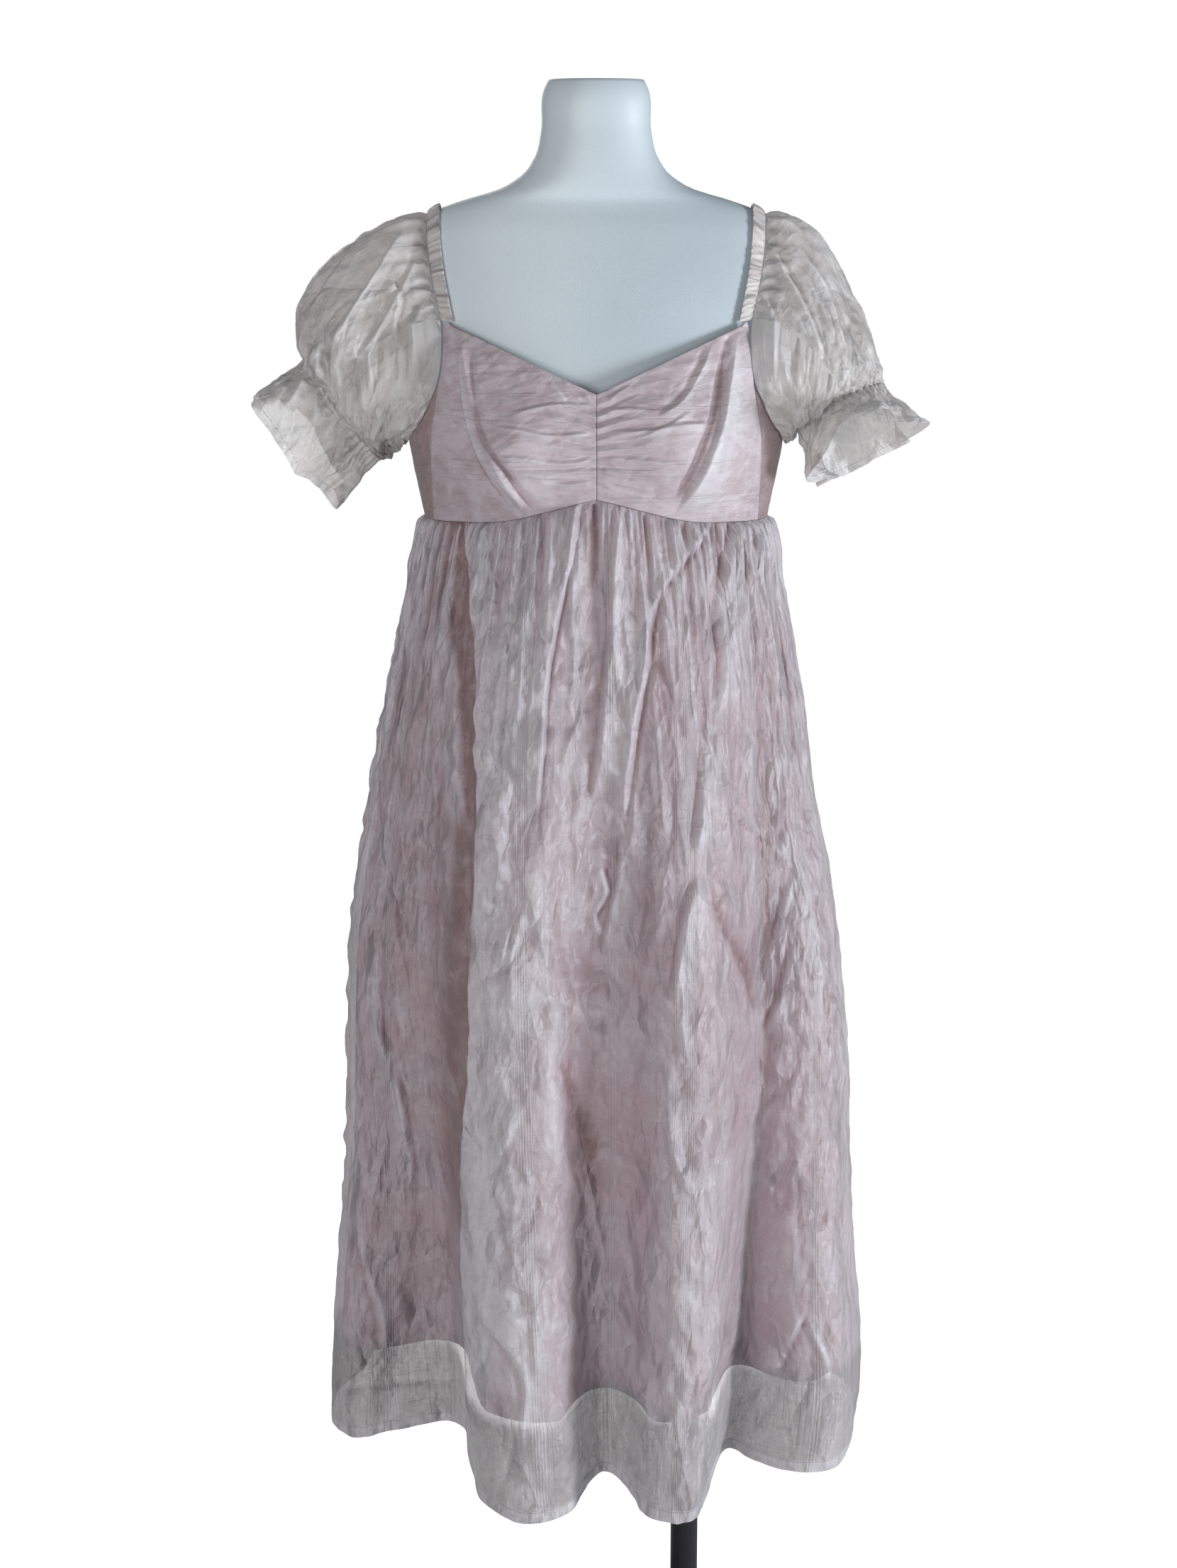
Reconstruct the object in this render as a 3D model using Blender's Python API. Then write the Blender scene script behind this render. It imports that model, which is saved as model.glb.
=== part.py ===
# A regency gown with a ruched bodice and puff sleeves, worn by a limbless dress form on a stand.
# Sizes are in metres and angles in degrees. +Z is up, the gown faces -Y, the wearer's left is +X.
# The origin is the middle of the base plate's underside, on the floor.

import math
from collections import namedtuple

import bmesh
import bpy
import numpy as np

# Driving sizes of the gown
SEAM_GAP = 0.0003
BODICE_WALL = 0.0015
SKIRT_WALL = 0.0012
LINING_WALL = 0.0010
SLEEVE_WALL = 0.0012
BAND_WALL = 0.0030
BAND_WIDTH = 0.013
HEM_HEIGHT = 0.350
LINING_HEM_HEIGHT = 0.440

# Driving sizes of the stand
BASE_RADIUS = 0.170
BASE_THICKNESS = 0.008
POLE_X = 0.096
POLE_RADIUS = 0.0145
POLE_CLEARANCE = 0.0003
HUB_RADIUS = 0.027
HUB_HEIGHT = 0.034
SOCKET_RADIUS = 0.034
SOCKET_PLATE = 0.006
SOCKET_COLLAR_RADIUS = 0.021
SOCKET_DEPTH = 0.045

OVAL_POWER = 2.25

# The dress form, a row for each level from its flat underside to the neck cap
FormLevel = namedtuple("FormLevel", "height half_width front back")
FORM_LEVELS = (
    FormLevel(0.860, 0.150, 0.090, 0.096),
    FormLevel(0.875, 0.162, 0.099, 0.108),
    FormLevel(0.910, 0.171, 0.106, 0.118),
    FormLevel(0.960, 0.173, 0.108, 0.122),
    FormLevel(1.020, 0.167, 0.105, 0.117),
    FormLevel(1.080, 0.155, 0.099, 0.104),
    FormLevel(1.140, 0.141, 0.092, 0.089),
    FormLevel(1.200, 0.133, 0.089, 0.081),
    FormLevel(1.260, 0.141, 0.096, 0.083),
    FormLevel(1.310, 0.152, 0.108, 0.089),
    FormLevel(1.360, 0.161, 0.116, 0.096),
    FormLevel(1.410, 0.169, 0.109, 0.101),
    FormLevel(1.460, 0.176, 0.094, 0.099),
    FormLevel(1.510, 0.180, 0.076, 0.090),
    FormLevel(1.550, 0.178, 0.060, 0.077),
    FormLevel(1.575, 0.168, 0.049, 0.064),
    FormLevel(1.588, 0.152, 0.042, 0.056),
    FormLevel(1.597, 0.127, 0.039, 0.052),
    FormLevel(1.606, 0.096, 0.041, 0.053),
    FormLevel(1.618, 0.074, 0.042, 0.054),
    FormLevel(1.635, 0.060, 0.042, 0.054),
    FormLevel(1.660, 0.053, 0.041, 0.053),
    FormLevel(1.699, 0.050, 0.040, 0.052),
    FormLevel(1.708, 0.046, 0.036, 0.048),
)

# The bodice, a row for each level of the cloth's outer face
BodiceLevel = namedtuple("BodiceLevel", "height half_width front back")
BODICE_LEVELS = (
    BodiceLevel(1.285, 0.167, 0.121, 0.100),
    BodiceLevel(1.320, 0.174, 0.129, 0.103),
    BodiceLevel(1.350, 0.180, 0.133, 0.106),
    BodiceLevel(1.380, 0.184, 0.132, 0.109),
    BodiceLevel(1.410, 0.183, 0.125, 0.111),
    BodiceLevel(1.440, 0.182, 0.114, 0.111),
    BodiceLevel(1.480, 0.186, 0.097, 0.107),
    BodiceLevel(1.520, 0.190, 0.084, 0.100),
)

# Bust swell shared by the form and the cups: centre, reach across and reach in height
BUST_X = 0.077
BUST_HEIGHT = 1.368
BUST_REACH_X = 0.042
BUST_REACH_Z = 0.046
FORM_BUST_SWELL = 0.013
CUP_BUST_SWELL = 0.015

# The bodice's lower edge: the empire seam, by angle from the centre front
SeamPoint = namedtuple("SeamPoint", "angle height")
EMPIRE_SEAM = (
    SeamPoint(0, 1.3215),
    SeamPoint(12, 1.3105),
    SeamPoint(27, 1.3000),
    SeamPoint(50, 1.2960),
    SeamPoint(90, 1.2940),
    SeamPoint(180, 1.2960),
)

# The bodice's upper edge, by angle: neckline, armhole and back neckline
NECK_POINT_HEIGHT = 1.4190
CORNER_ANGLE = 45.0
BACK_CORNER_ANGLE = 136.0
BACK_NECK_HEIGHT = 1.478
STRAP_ANGLE = 49.0
BACK_STRAP_ANGLE = 131.5
ARMHOLE = (
    SeamPoint(CORNER_ANGLE, 1.4800),
    SeamPoint(STRAP_ANGLE, 1.4780),
    SeamPoint(51, 1.4500),
    SeamPoint(59, 1.4060),
    SeamPoint(74, 1.3780),
    SeamPoint(90, 1.3690),
    SeamPoint(106, 1.3800),
    SeamPoint(120, 1.4120),
    SeamPoint(128, 1.4500),
    SeamPoint(BACK_STRAP_ANGLE, 1.4860),
    SeamPoint(BACK_CORNER_ANGLE, 1.4880),
)
SIDE_SEAM_LOW = 67.0
SIDE_SEAM_HIGH = 53.0
BACK_SEAM_ANGLE = 98.0

# Ruching on the cups, a row for each gather along the centre front seam
Ruche = namedtuple("Ruche", "share depth reach")
RUCHES = (
    Ruche(0.08, 0.0022, 0.030),
    Ruche(0.18, 0.0038, 0.052),
    Ruche(0.28, 0.0044, 0.078),
    Ruche(0.38, 0.0038, 0.064),
    Ruche(0.48, 0.0050, 0.084),
    Ruche(0.58, 0.0044, 0.070),
    Ruche(0.68, 0.0050, 0.086),
    Ruche(0.78, 0.0042, 0.072),
    Ruche(0.89, 0.0026, 0.046),
)
RUCHE_PITCH = 0.10

# The soft fold that falls from each neckline corner to the empire seam
FoldPoint = namedtuple("FoldPoint", "height right left")
CUP_FOLD = (
    FoldPoint(1.295, 0.058, 0.104),
    FoldPoint(1.325, 0.080, 0.110),
    FoldPoint(1.350, 0.096, 0.115),
    FoldPoint(1.385, 0.112, 0.121),
    FoldPoint(1.430, 0.124, 0.127),
    FoldPoint(1.485, 0.132, 0.133),
)
CUP_FOLD_DEPTH = 0.0065
CUP_FOLD_WIDTH = 0.011

# How far the skirt stands out from the empire seam, a row for each drop below it
Flare = namedtuple("Flare", "drop right left front back")
FLARES = (
    Flare(0.000, 0.0000, 0.0000, 0.000, 0.000),
    Flare(0.030, 0.0080, 0.0080, 0.009, 0.008),
    Flare(0.060, 0.0150, 0.0120, 0.017, 0.016),
    Flare(0.130, 0.0300, 0.0280, 0.033, 0.030),
    Flare(0.200, 0.0450, 0.0400, 0.047, 0.042),
    Flare(0.280, 0.0600, 0.0510, 0.060, 0.054),
    Flare(0.350, 0.0720, 0.0660, 0.069, 0.063),
    Flare(0.430, 0.0820, 0.0780, 0.078, 0.072),
    Flare(0.540, 0.0870, 0.0890, 0.089, 0.084),
    Flare(0.660, 0.0910, 0.0940, 0.099, 0.094),
    Flare(0.780, 0.1020, 0.1010, 0.108, 0.103),
    Flare(0.860, 0.1080, 0.1080, 0.113, 0.109),
    Flare(0.950, 0.1120, 0.1030, 0.118, 0.115),
)

# The skirt's folds, a row for each ridge, flank or valley: the angle round the empire seam
# that it falls from, and the place that it reaches at the hem
HemPoint = namedtuple("HemPoint", "seam_angle x y")
HEM_POINTS = (
    HemPoint(-180, 0.000, 0.262),
    HemPoint(-171, -0.030, 0.240),
    HemPoint(-163, -0.052, 0.188),
    HemPoint(-155, -0.082, 0.206),
    HemPoint(-147, -0.118, 0.240),
    HemPoint(-139, -0.142, 0.196),
    HemPoint(-132, -0.158, 0.156),
    HemPoint(-124, -0.205, 0.168),
    HemPoint(-114, -0.243, 0.132),
    HemPoint(-103, -0.252, 0.072),
    HemPoint(-90, -0.278, 0.006),
    HemPoint(-78, -0.272, -0.068),
    HemPoint(-68, -0.243, -0.094),
    HemPoint(-59, -0.202, -0.074),
    HemPoint(-51, -0.160, -0.056),
    HemPoint(-44, -0.136, -0.078),
    HemPoint(-39, -0.127, -0.145),
    HemPoint(-34, -0.117, -0.208),
    HemPoint(-28, -0.097, -0.250),
    HemPoint(-20, -0.064, -0.271),
    HemPoint(-12, -0.025, -0.248),
    HemPoint(-6, -0.008, -0.192),
    HemPoint(0, 0.008, -0.168),
    HemPoint(7, 0.030, -0.194),
    HemPoint(14, 0.046, -0.248),
    HemPoint(24, 0.082, -0.272),
    HemPoint(33, 0.106, -0.242),
    HemPoint(40, 0.118, -0.178),
    HemPoint(47, 0.134, -0.118),
    HemPoint(54, 0.158, -0.140),
    HemPoint(61, 0.188, -0.163),
    HemPoint(70, 0.236, -0.163),
    HemPoint(80, 0.264, -0.096),
    HemPoint(92, 0.275, 0.012),
    HemPoint(103, 0.252, 0.074),
    HemPoint(114, 0.240, 0.136),
    HemPoint(124, 0.200, 0.166),
    HemPoint(132, 0.156, 0.154),
    HemPoint(139, 0.140, 0.194),
    HemPoint(147, 0.116, 0.238),
    HemPoint(155, 0.082, 0.208),
    HemPoint(163, 0.052, 0.190),
    HemPoint(171, 0.030, 0.240),
    HemPoint(180, 0.000, 0.262),
)
FOLD_START = 0.70
RIGHT_SIDE_SEAM = -82.0
LEFT_SIDE_SEAM = 92.0
FRONT_GATHERS = 32
BACK_GATHERS = 22
GATHER_DEPTH = 0.0022
GATHER_FADE = 0.20
LINING_INSET = 0.0085
LINING_RIDGE_SHARE = 0.45

# One row for each quarter of a sleeve, at its front, top, back and underarm: how far the cloth
# runs out of the armhole and swells there, how far it swells and hangs back over the elastic at
# the cuff, and the angle at which its frill flares
Quarter = namedtuple("Quarter", "run_out swell_in swell_out hang_over flare")
Sleeve = namedtuple(
    "Sleeve",
    "cuff top_axis front_axis frill_axis top_radius front_radius quarters frill_length waves phase lobe lobe_reach",
)
RIGHT_SLEEVE = Sleeve(
    cuff=(-0.2410, -0.0050, 1.4050),
    top_axis=(-0.56, 0.00, 0.83),
    front_axis=(-0.12, -0.99, -0.05),
    frill_axis=(-0.76, -0.06, -0.64),
    top_radius=0.061,
    front_radius=0.054,
    quarters=(
        Quarter(0.060, 0.008, 0.034, 0.004, 12),
        Quarter(0.072, 0.006, 0.048, 0.034, -6),
        Quarter(0.060, 0.012, 0.040, 0.006, 12),
        Quarter(0.014, 0.006, 0.012, 0.004, 4),
    ),
    frill_length=0.064,
    waves=6,
    phase=150.0,
    lobe=28.0,
    lobe_reach=0.026,
)
LEFT_SLEEVE = Sleeve(
    cuff=(0.2370, -0.0080, 1.4010),
    top_axis=(0.90, 0.05, 0.43),
    front_axis=(0.06, -0.96, 0.26),
    frill_axis=(0.36, -0.22, -0.90),
    top_radius=0.046,
    front_radius=0.052,
    quarters=(
        Quarter(0.052, 0.008, 0.034, 0.008, 62),
        Quarter(0.066, 0.008, 0.014, -0.040, 5),
        Quarter(0.052, 0.010, 0.034, 0.004, 14),
        Quarter(0.006, 0.004, 0.002, 0.000, -6),
    ),
    frill_length=0.060,
    waves=6,
    phase=65.0,
    lobe=82.0,
    lobe_reach=0.008,
)
SLEEVE_COLUMNS = 36
PUFF_ROWS = 8
CUFF_GATHER_DEPTH = 0.0024
FRILL_SHARES = (0.12, 0.40, 0.70, 1.0)
FRILL_WAVE = 0.010
LOBE_WIDTH = 17.0

# The elastic bands over the shoulders
BAND_GATHERS = 14
BAND_GATHER_DEPTH = 0.0009
BAND_CENTRE = (0.010, 1.500)
BAND_LIFT_END = 0.0046
BAND_LIFT_TOP = 0.0022
BAND_END_X = 0.1340
BAND_TOP_X = 0.1500
BAND_END_SHARE = 0.008

Finish = namedtuple("Finish", "colour roughness metallic")
BODICE_PINK = Finish((0.560, 0.440, 0.465), 0.55, 0.0)
SKIRT_VEIL = Finish((0.560, 0.490, 0.505), 0.50, 0.0)
LINING_PINK = Finish((0.500, 0.340, 0.370), 0.60, 0.0)
SLEEVE_VEIL = Finish((0.600, 0.570, 0.540), 0.50, 0.0)
FORM_WHITE = Finish((0.640, 0.720, 0.760), 0.45, 0.0)
STAND_BLACK = Finish((0.012, 0.012, 0.014), 0.40, 0.0)


def curve_through(keys, values, at):
    """Values on a smooth curve through the given points, vectorised over at."""
    keys = np.asarray(keys, float)
    values = np.asarray(values, float)
    at = np.clip(np.asarray(at, float), keys[0], keys[-1])
    slopes = np.gradient(values, keys)
    i = np.clip(np.searchsorted(keys, at, side="right") - 1, 0, len(keys) - 2)
    span = keys[i + 1] - keys[i]
    t = (at - keys[i]) / span
    start = values[i] * (1 + 2 * t) * (1 - t) ** 2 + slopes[i] * span * t * (1 - t) ** 2
    end = values[i + 1] * t * t * (3 - 2 * t) + slopes[i + 1] * span * t * t * (t - 1)
    return start + end


def column(rows, key, name, at):
    """One named column of a table, read at a key between its rows."""
    return curve_through([getattr(r, key) for r in rows], [getattr(r, name) for r in rows], at)


def eased(t):
    """0 to 1 with a soft start and end."""
    t = np.clip(t, 0, 1)
    return t * t * (3 - 2 * t)


def oval(angle, half_width, front, back):
    """Points of a squared oval by angle: 0 is the centre front and 90 the wearer's left side."""
    sine = np.sin(np.radians(angle))
    cosine = np.cos(np.radians(angle))
    depth = np.where(cosine > 0, front, back)
    x = half_width * np.sign(sine) * np.abs(sine) ** (2 / OVAL_POWER)
    y = -depth * np.sign(cosine) * np.abs(cosine) ** (2 / OVAL_POWER)
    return x, y


def bust_swell(x, height, amount):
    """How far the bust stands out at a place across the front."""
    across = ((np.abs(x) - BUST_X) / BUST_REACH_X) ** 2
    up = ((height - BUST_HEIGHT) / BUST_REACH_Z) ** 2
    return amount * np.exp(-across - up)


def form_point(angle, height):
    """A point of the dress form's surface."""
    sizes = [column(FORM_LEVELS, "height", name, height) for name in ("half_width", "front", "back")]
    x, y = oval(angle, *sizes)
    front = np.cos(np.radians(angle)) > 0
    y = y - np.where(front, bust_swell(x, height, FORM_BUST_SWELL), 0)
    return np.stack(np.broadcast_arrays(x, y, height), axis=-1)


def inside_form(x, y, height):
    """Whether a place is within the dress form."""
    if height >= FORM_LEVELS[-1].height:
        return False
    half_width = column(FORM_LEVELS, "height", "half_width", height)
    depth = column(FORM_LEVELS, "height", "front" if y < 0 else "back", height)
    if y < 0:
        y += bust_swell(x, height, FORM_BUST_SWELL)
    return (abs(x) / half_width) ** OVAL_POWER + (abs(y) / depth) ** OVAL_POWER < 1


def cup_fold(x, height, side):
    """The step in the cup's cloth along its soft fold: the inner side stands proud of it."""
    line = column(CUP_FOLD, "height", side, height)
    inward = (line - np.abs(x)) / CUP_FOLD_WIDTH
    step = eased(0.5 + inward * 1.2) * np.exp(-np.clip(inward, 0, None) / 2.2)
    return CUP_FOLD_DEPTH * step


def ruching(x, share):
    """The gathers that run out from the centre front seam, by height share up the panel."""
    depth = np.zeros(np.broadcast(x, share).shape)
    for ruche in RUCHES:
        profile = np.clip(1 - np.abs(share - ruche.share) / (RUCHE_PITCH * 0.5), 0, 1)
        fade = np.clip(1.0 - np.abs(x) / ruche.reach, 0, 1)
        depth = depth + ruche.depth * profile * fade
    return depth


def empire_height(angle):
    return column(EMPIRE_SEAM, "angle", "height", np.abs(angle))


def bodice_edge_height(angle):
    """The bodice's upper edge: straight neckline, curved armhole, level back neckline."""
    angle = np.abs(angle)
    corner_sine = math.sin(math.radians(CORNER_ANGLE))
    across = (np.sin(np.radians(np.minimum(angle, CORNER_ANGLE))) / corner_sine) ** (2 / OVAL_POWER)
    neckline = NECK_POINT_HEIGHT + (ARMHOLE[0].height - NECK_POINT_HEIGHT) * across
    armhole = column(ARMHOLE, "angle", "height", angle)
    past_corner = (angle - BACK_CORNER_ANGLE) / (180 - BACK_CORNER_ANGLE)
    back = ARMHOLE[-1].height + (BACK_NECK_HEIGHT - ARMHOLE[-1].height) * eased(past_corner * 2)
    return np.where(angle < CORNER_ANGLE, neckline, np.where(angle > BACK_CORNER_ANGLE, back, armhole))


def bodice_point(angle, height, share=None, across=0.0, side="left"):
    """A point of the bodice's outer face. share, the height up the panel, adds the cup's folds,
    and across runs to 1 at the side seam, where they end."""
    sizes = [column(BODICE_LEVELS, "height", name, height) for name in ("half_width", "front", "back")]
    x, y = oval(angle, *sizes)
    swell = bust_swell(x, height, CUP_BUST_SWELL) * (np.cos(np.radians(angle)) > 0)
    if share is not None:
        edges = eased(share * 6) * eased((1 - share) * 8) * eased((1 - across) * 8)
        swell = swell + cup_fold(x, height, side) * edges + ruching(x, share)
    return np.stack(np.broadcast_arrays(x, y - swell, height), axis=-1)


def new_material(name, finish):
    material = bpy.data.materials.new(name)
    material.use_nodes = True
    shader = material.node_tree.nodes["Principled BSDF"]
    shader.inputs["Base Color"].default_value = (*finish.colour, 1.0)
    shader.inputs["Roughness"].default_value = finish.roughness
    shader.inputs["Metallic"].default_value = finish.metallic
    material.diffuse_color = (*finish.colour, 1.0)
    return material


def add_object(name, mesh_source, finish, smooth=True):
    """Turns a bmesh into a named object with its own material."""
    mesh = bpy.data.meshes.new(name)
    mesh_source.to_mesh(mesh)
    mesh_source.free()
    if smooth:
        mesh.shade_smooth()
    mesh.materials.append(new_material(name, finish))
    thing = bpy.data.objects.new(name, mesh)
    bpy.context.scene.collection.objects.link(thing)
    return thing


def sheet_normals(grid, closed):
    """Outward directions of a sheet of points, taken across its neighbours."""
    if closed:
        along = np.roll(grid, -1, axis=1) - np.roll(grid, 1, axis=1)
    else:
        along = np.gradient(grid, axis=1)
    normals = np.cross(along, np.gradient(grid, axis=0))
    return normals / np.linalg.norm(normals, axis=-1, keepdims=True)


def cloth(name, grid, wall, finish, closed=False, normals=None):
    """A cloth wall as a closed body. The grid is its outer face, with rows that run up and
    columns that run to the wearer's left, and the thickness goes inwards."""
    if normals is None:
        normals = sheet_normals(grid, closed)
    body = bmesh.new()
    outer = [[body.verts.new(point) for point in row] for row in grid]
    inner = [[body.verts.new(point) for point in row] for row in grid - normals * wall]
    columns = len(outer[0])
    pairs = [(i, (i + 1) % columns) for i in range(columns if closed else columns - 1)]
    for row in range(len(outer) - 1):
        for i, j in pairs:
            # both faces are cut along one diagonal, so that a twisted wall keeps its thickness
            body.faces.new((outer[row][i], outer[row][j], outer[row + 1][j]))
            body.faces.new((outer[row][i], outer[row + 1][j], outer[row + 1][i]))
            body.faces.new((inner[row + 1][j], inner[row][j], inner[row][i]))
            body.faces.new((inner[row + 1][i], inner[row + 1][j], inner[row][i]))
        if not closed:
            body.faces.new((outer[row][0], outer[row + 1][0], inner[row + 1][0], inner[row][0]))
            body.faces.new((inner[row][-1], inner[row + 1][-1], outer[row + 1][-1], outer[row][-1]))
    for i, j in pairs:
        body.faces.new((inner[0][i], inner[0][j], outer[0][j], outer[0][i]))
        body.faces.new((outer[-1][i], outer[-1][j], inner[-1][j], inner[-1][i]))
    return add_object(name, body, finish)


def bodice_normal(angle, height):
    """The bodice's outward direction without its folds, the same on both sides of a seam."""
    across = bodice_point(angle + 0.5, height) - bodice_point(angle - 0.5, height)
    up = bodice_point(angle, height + 0.001) - bodice_point(angle, height - 0.001)
    normals = np.cross(across, up)
    return normals / np.linalg.norm(normals, axis=-1, keepdims=True)


def bodice_panel(name, side, low_angles, high_angles, shares, folded=False):
    """A bodice piece between two seams. The columns lean as the seams beside them do."""
    low = np.asarray(low_angles, float)
    high = np.asarray(high_angles, float)
    share = np.asarray(shares, float)[:, None]
    angle = low + (high - low) * share
    bottom = empire_height(angle) + SEAM_GAP
    height = bottom + (bodice_edge_height(angle) - bottom) * share
    across = np.broadcast_to(np.linspace(0, 1, len(low)), angle.shape)
    grid = bodice_point(angle, height, share if folded else None, across, "right" if side < 0 else "left")
    normals = bodice_normal(angle, height)
    if side < 0:
        grid = (grid * (-1, 1, 1))[:, ::-1]
        normals = (normals * (-1, 1, 1))[:, ::-1]
    return cloth(name, grid, BODICE_WALL, BODICE_PINK, normals=normals)


def angle_gap(radius):
    """Half a seam's gap as an angle."""
    return math.degrees(SEAM_GAP / radius)


def build_bodice():
    gap = angle_gap(0.16)
    corner = CORNER_ANGLE / SIDE_SEAM_HIGH
    strap = STRAP_ANGLE / SIDE_SEAM_HIGH
    shares = np.append(np.linspace(0, corner, 11), (strap, (1 + strap) / 2, 1))
    ruche_rows = [0]
    for ruche in RUCHES:
        ruche_rows += [ruche.share - RUCHE_PITCH / 2, ruche.share]
    ruche_rows += [RUCHES[-1].share + RUCHE_PITCH / 2, 1]
    for label, side in (("right", -1), ("left", 1)):
        low = gap + shares * (SIDE_SEAM_LOW - 2 * gap)
        high = gap + shares * (SIDE_SEAM_HIGH - 2 * gap)
        bodice_panel(f"bodice_front_{label}", side, low, high, ruche_rows, folded=True)
        low = np.linspace(SIDE_SEAM_LOW + gap, BACK_SEAM_ANGLE - gap, 6)
        high = np.linspace(SIDE_SEAM_HIGH + gap, BACK_SEAM_ANGLE - gap, 6)
        bodice_panel(f"bodice_side_{label}", side, low, high, np.linspace(0, 1, 6))
        turn = np.append(np.linspace(BACK_SEAM_ANGLE + gap, BACK_STRAP_ANGLE, 6), BACK_CORNER_ANGLE)
        back = np.append(turn, np.linspace(BACK_CORNER_ANGLE, 180 - gap, 6)[1:])
        bodice_panel(f"bodice_back_{label}", side, back, back, np.linspace(0, 1, 7))


def flare_at(angle, drop):
    """How far the skirt stands out, mixed from its sides, front and back."""
    sine = np.sin(np.radians(angle))
    cosine = np.cos(np.radians(angle))
    side = np.where(sine > 0, column(FLARES, "drop", "left", drop), column(FLARES, "drop", "right", drop))
    depth = np.where(cosine > 0, column(FLARES, "drop", "front", drop), column(FLARES, "drop", "back", drop))
    return side * sine**2 + depth * cosine**2


def swept_out(angle, seam, drop):
    """The skirt's place without its folds, at a drop below the seam."""
    sizes = [column(BODICE_LEVELS, "height", name, seam) for name in ("half_width", "front", "back")]
    x, y = oval(angle, *sizes)
    y = y - bust_swell(x, seam, CUP_BUST_SWELL) * (np.cos(np.radians(angle)) > 0)
    out = flare_at(angle, drop) / np.hypot(x, y)
    return x * (1 + out), y * (1 + out)


def skirt_point(angle, share, gather=0.0, hem=HEM_HEIGHT, ridge_share=1.0):
    """A point of the skirt. angle is the place round the seam, and share runs from it to the hem."""
    seam = empire_height(angle) - SEAM_GAP
    height = seam + (hem - seam) * share
    depth = (seam - height) / (seam - HEM_HEIGHT)
    base_x, base_y = swept_out(angle, seam, seam - height)
    hem_x, hem_y = swept_out(angle, seam, seam - HEM_HEIGHT)
    growth = depth * (FOLD_START + (1 - FOLD_START) * depth)
    fold_x = (column(HEM_POINTS, "seam_angle", "x", angle) - hem_x) * growth
    fold_y = (column(HEM_POINTS, "seam_angle", "y", angle) - hem_y) * growth
    x = base_x + fold_x
    y = base_y + fold_y
    reach = np.hypot(x, y)
    proud = (fold_x * x + fold_y * y) / reach
    out = (gather - np.clip(proud, 0, None) * (1 - ridge_share)) / reach
    return np.stack(np.broadcast_arrays(x * (1 + out), y * (1 + out), height), axis=-1)


def skirt_grid(start, end, steps, rows, gathered=True, **options):
    """Rows of skirt points from the hem up, with a ridge or valley at each column of the gathers."""
    angles = np.linspace(start, end, steps + 1)
    wrapped = np.where(angles > 180, angles - 360, angles)
    share = np.asarray(rows, float)[:, None]
    gather = np.zeros((len(share), len(angles)))
    if gathered:
        turn = np.where(np.arange(len(angles)) % 2, 1.0, -1.0)
        vary = 0.72 + 0.28 * np.sin(2.4 * np.arange(len(angles)))
        swell = 1 + 0.9 * eased(share / 0.05)
        gather = GATHER_DEPTH * turn * vary * swell * eased(1 - share / GATHER_FADE)
        gather[:, 0] = gather[:, -1] = 0.0
    return skirt_point(wrapped, share, gather, **options)[::-1]


def build_skirt():
    gap = angle_gap(0.17)
    rows = (0, 0.022, 0.05, 0.09, 0.15, 0.24, 0.36, 0.50, 0.64, 0.77, 0.89, 1.0)
    for name, start, end, gathers in (
        ("skirt_front", RIGHT_SIDE_SEAM + gap, LEFT_SIDE_SEAM - gap, FRONT_GATHERS),
        ("skirt_back", LEFT_SIDE_SEAM + gap, 360 + RIGHT_SIDE_SEAM - gap, BACK_GATHERS),
    ):
        cloth(name, skirt_grid(start, end, 2 * gathers, rows), SKIRT_WALL, SKIRT_VEIL)


def seam_shared_normals(ring, split):
    """Outward directions of a closed ring of cloth, the same on both sides of its two seams."""
    normals = sheet_normals(ring, True)
    for first, second in ((split - 1, split), (-1, 0)):
        shared = normals[:, first] + normals[:, second]
        normals[:, first] = normals[:, second] = shared / np.linalg.norm(shared, axis=-1, keepdims=True)
    return normals


def build_lining():
    """The plain lining hangs inside the skirt's valleys and ends short of the hem."""
    gap = angle_gap(0.16)
    options = {"gathered": False, "hem": LINING_HEM_HEIGHT, "ridge_share": LINING_RIDGE_SHARE}
    rows = np.linspace(0, 1, 8)
    front = skirt_grid(RIGHT_SIDE_SEAM + gap, LEFT_SIDE_SEAM - gap, FRONT_GATHERS, rows, **options)
    back = skirt_grid(LEFT_SIDE_SEAM + gap, 360 + RIGHT_SIDE_SEAM - gap, 2 * BACK_GATHERS, rows, **options)
    ring = np.concatenate((front, back), axis=1)
    split = front.shape[1]
    ring = ring - seam_shared_normals(ring, split) * LINING_INSET
    normals = seam_shared_normals(ring, split)
    cloth("lining_front", ring[:, :split], LINING_WALL, LINING_PINK, normals=normals[:, :split])
    cloth("lining_back", ring[:, split:], LINING_WALL, LINING_PINK, normals=normals[:, split:])


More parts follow.
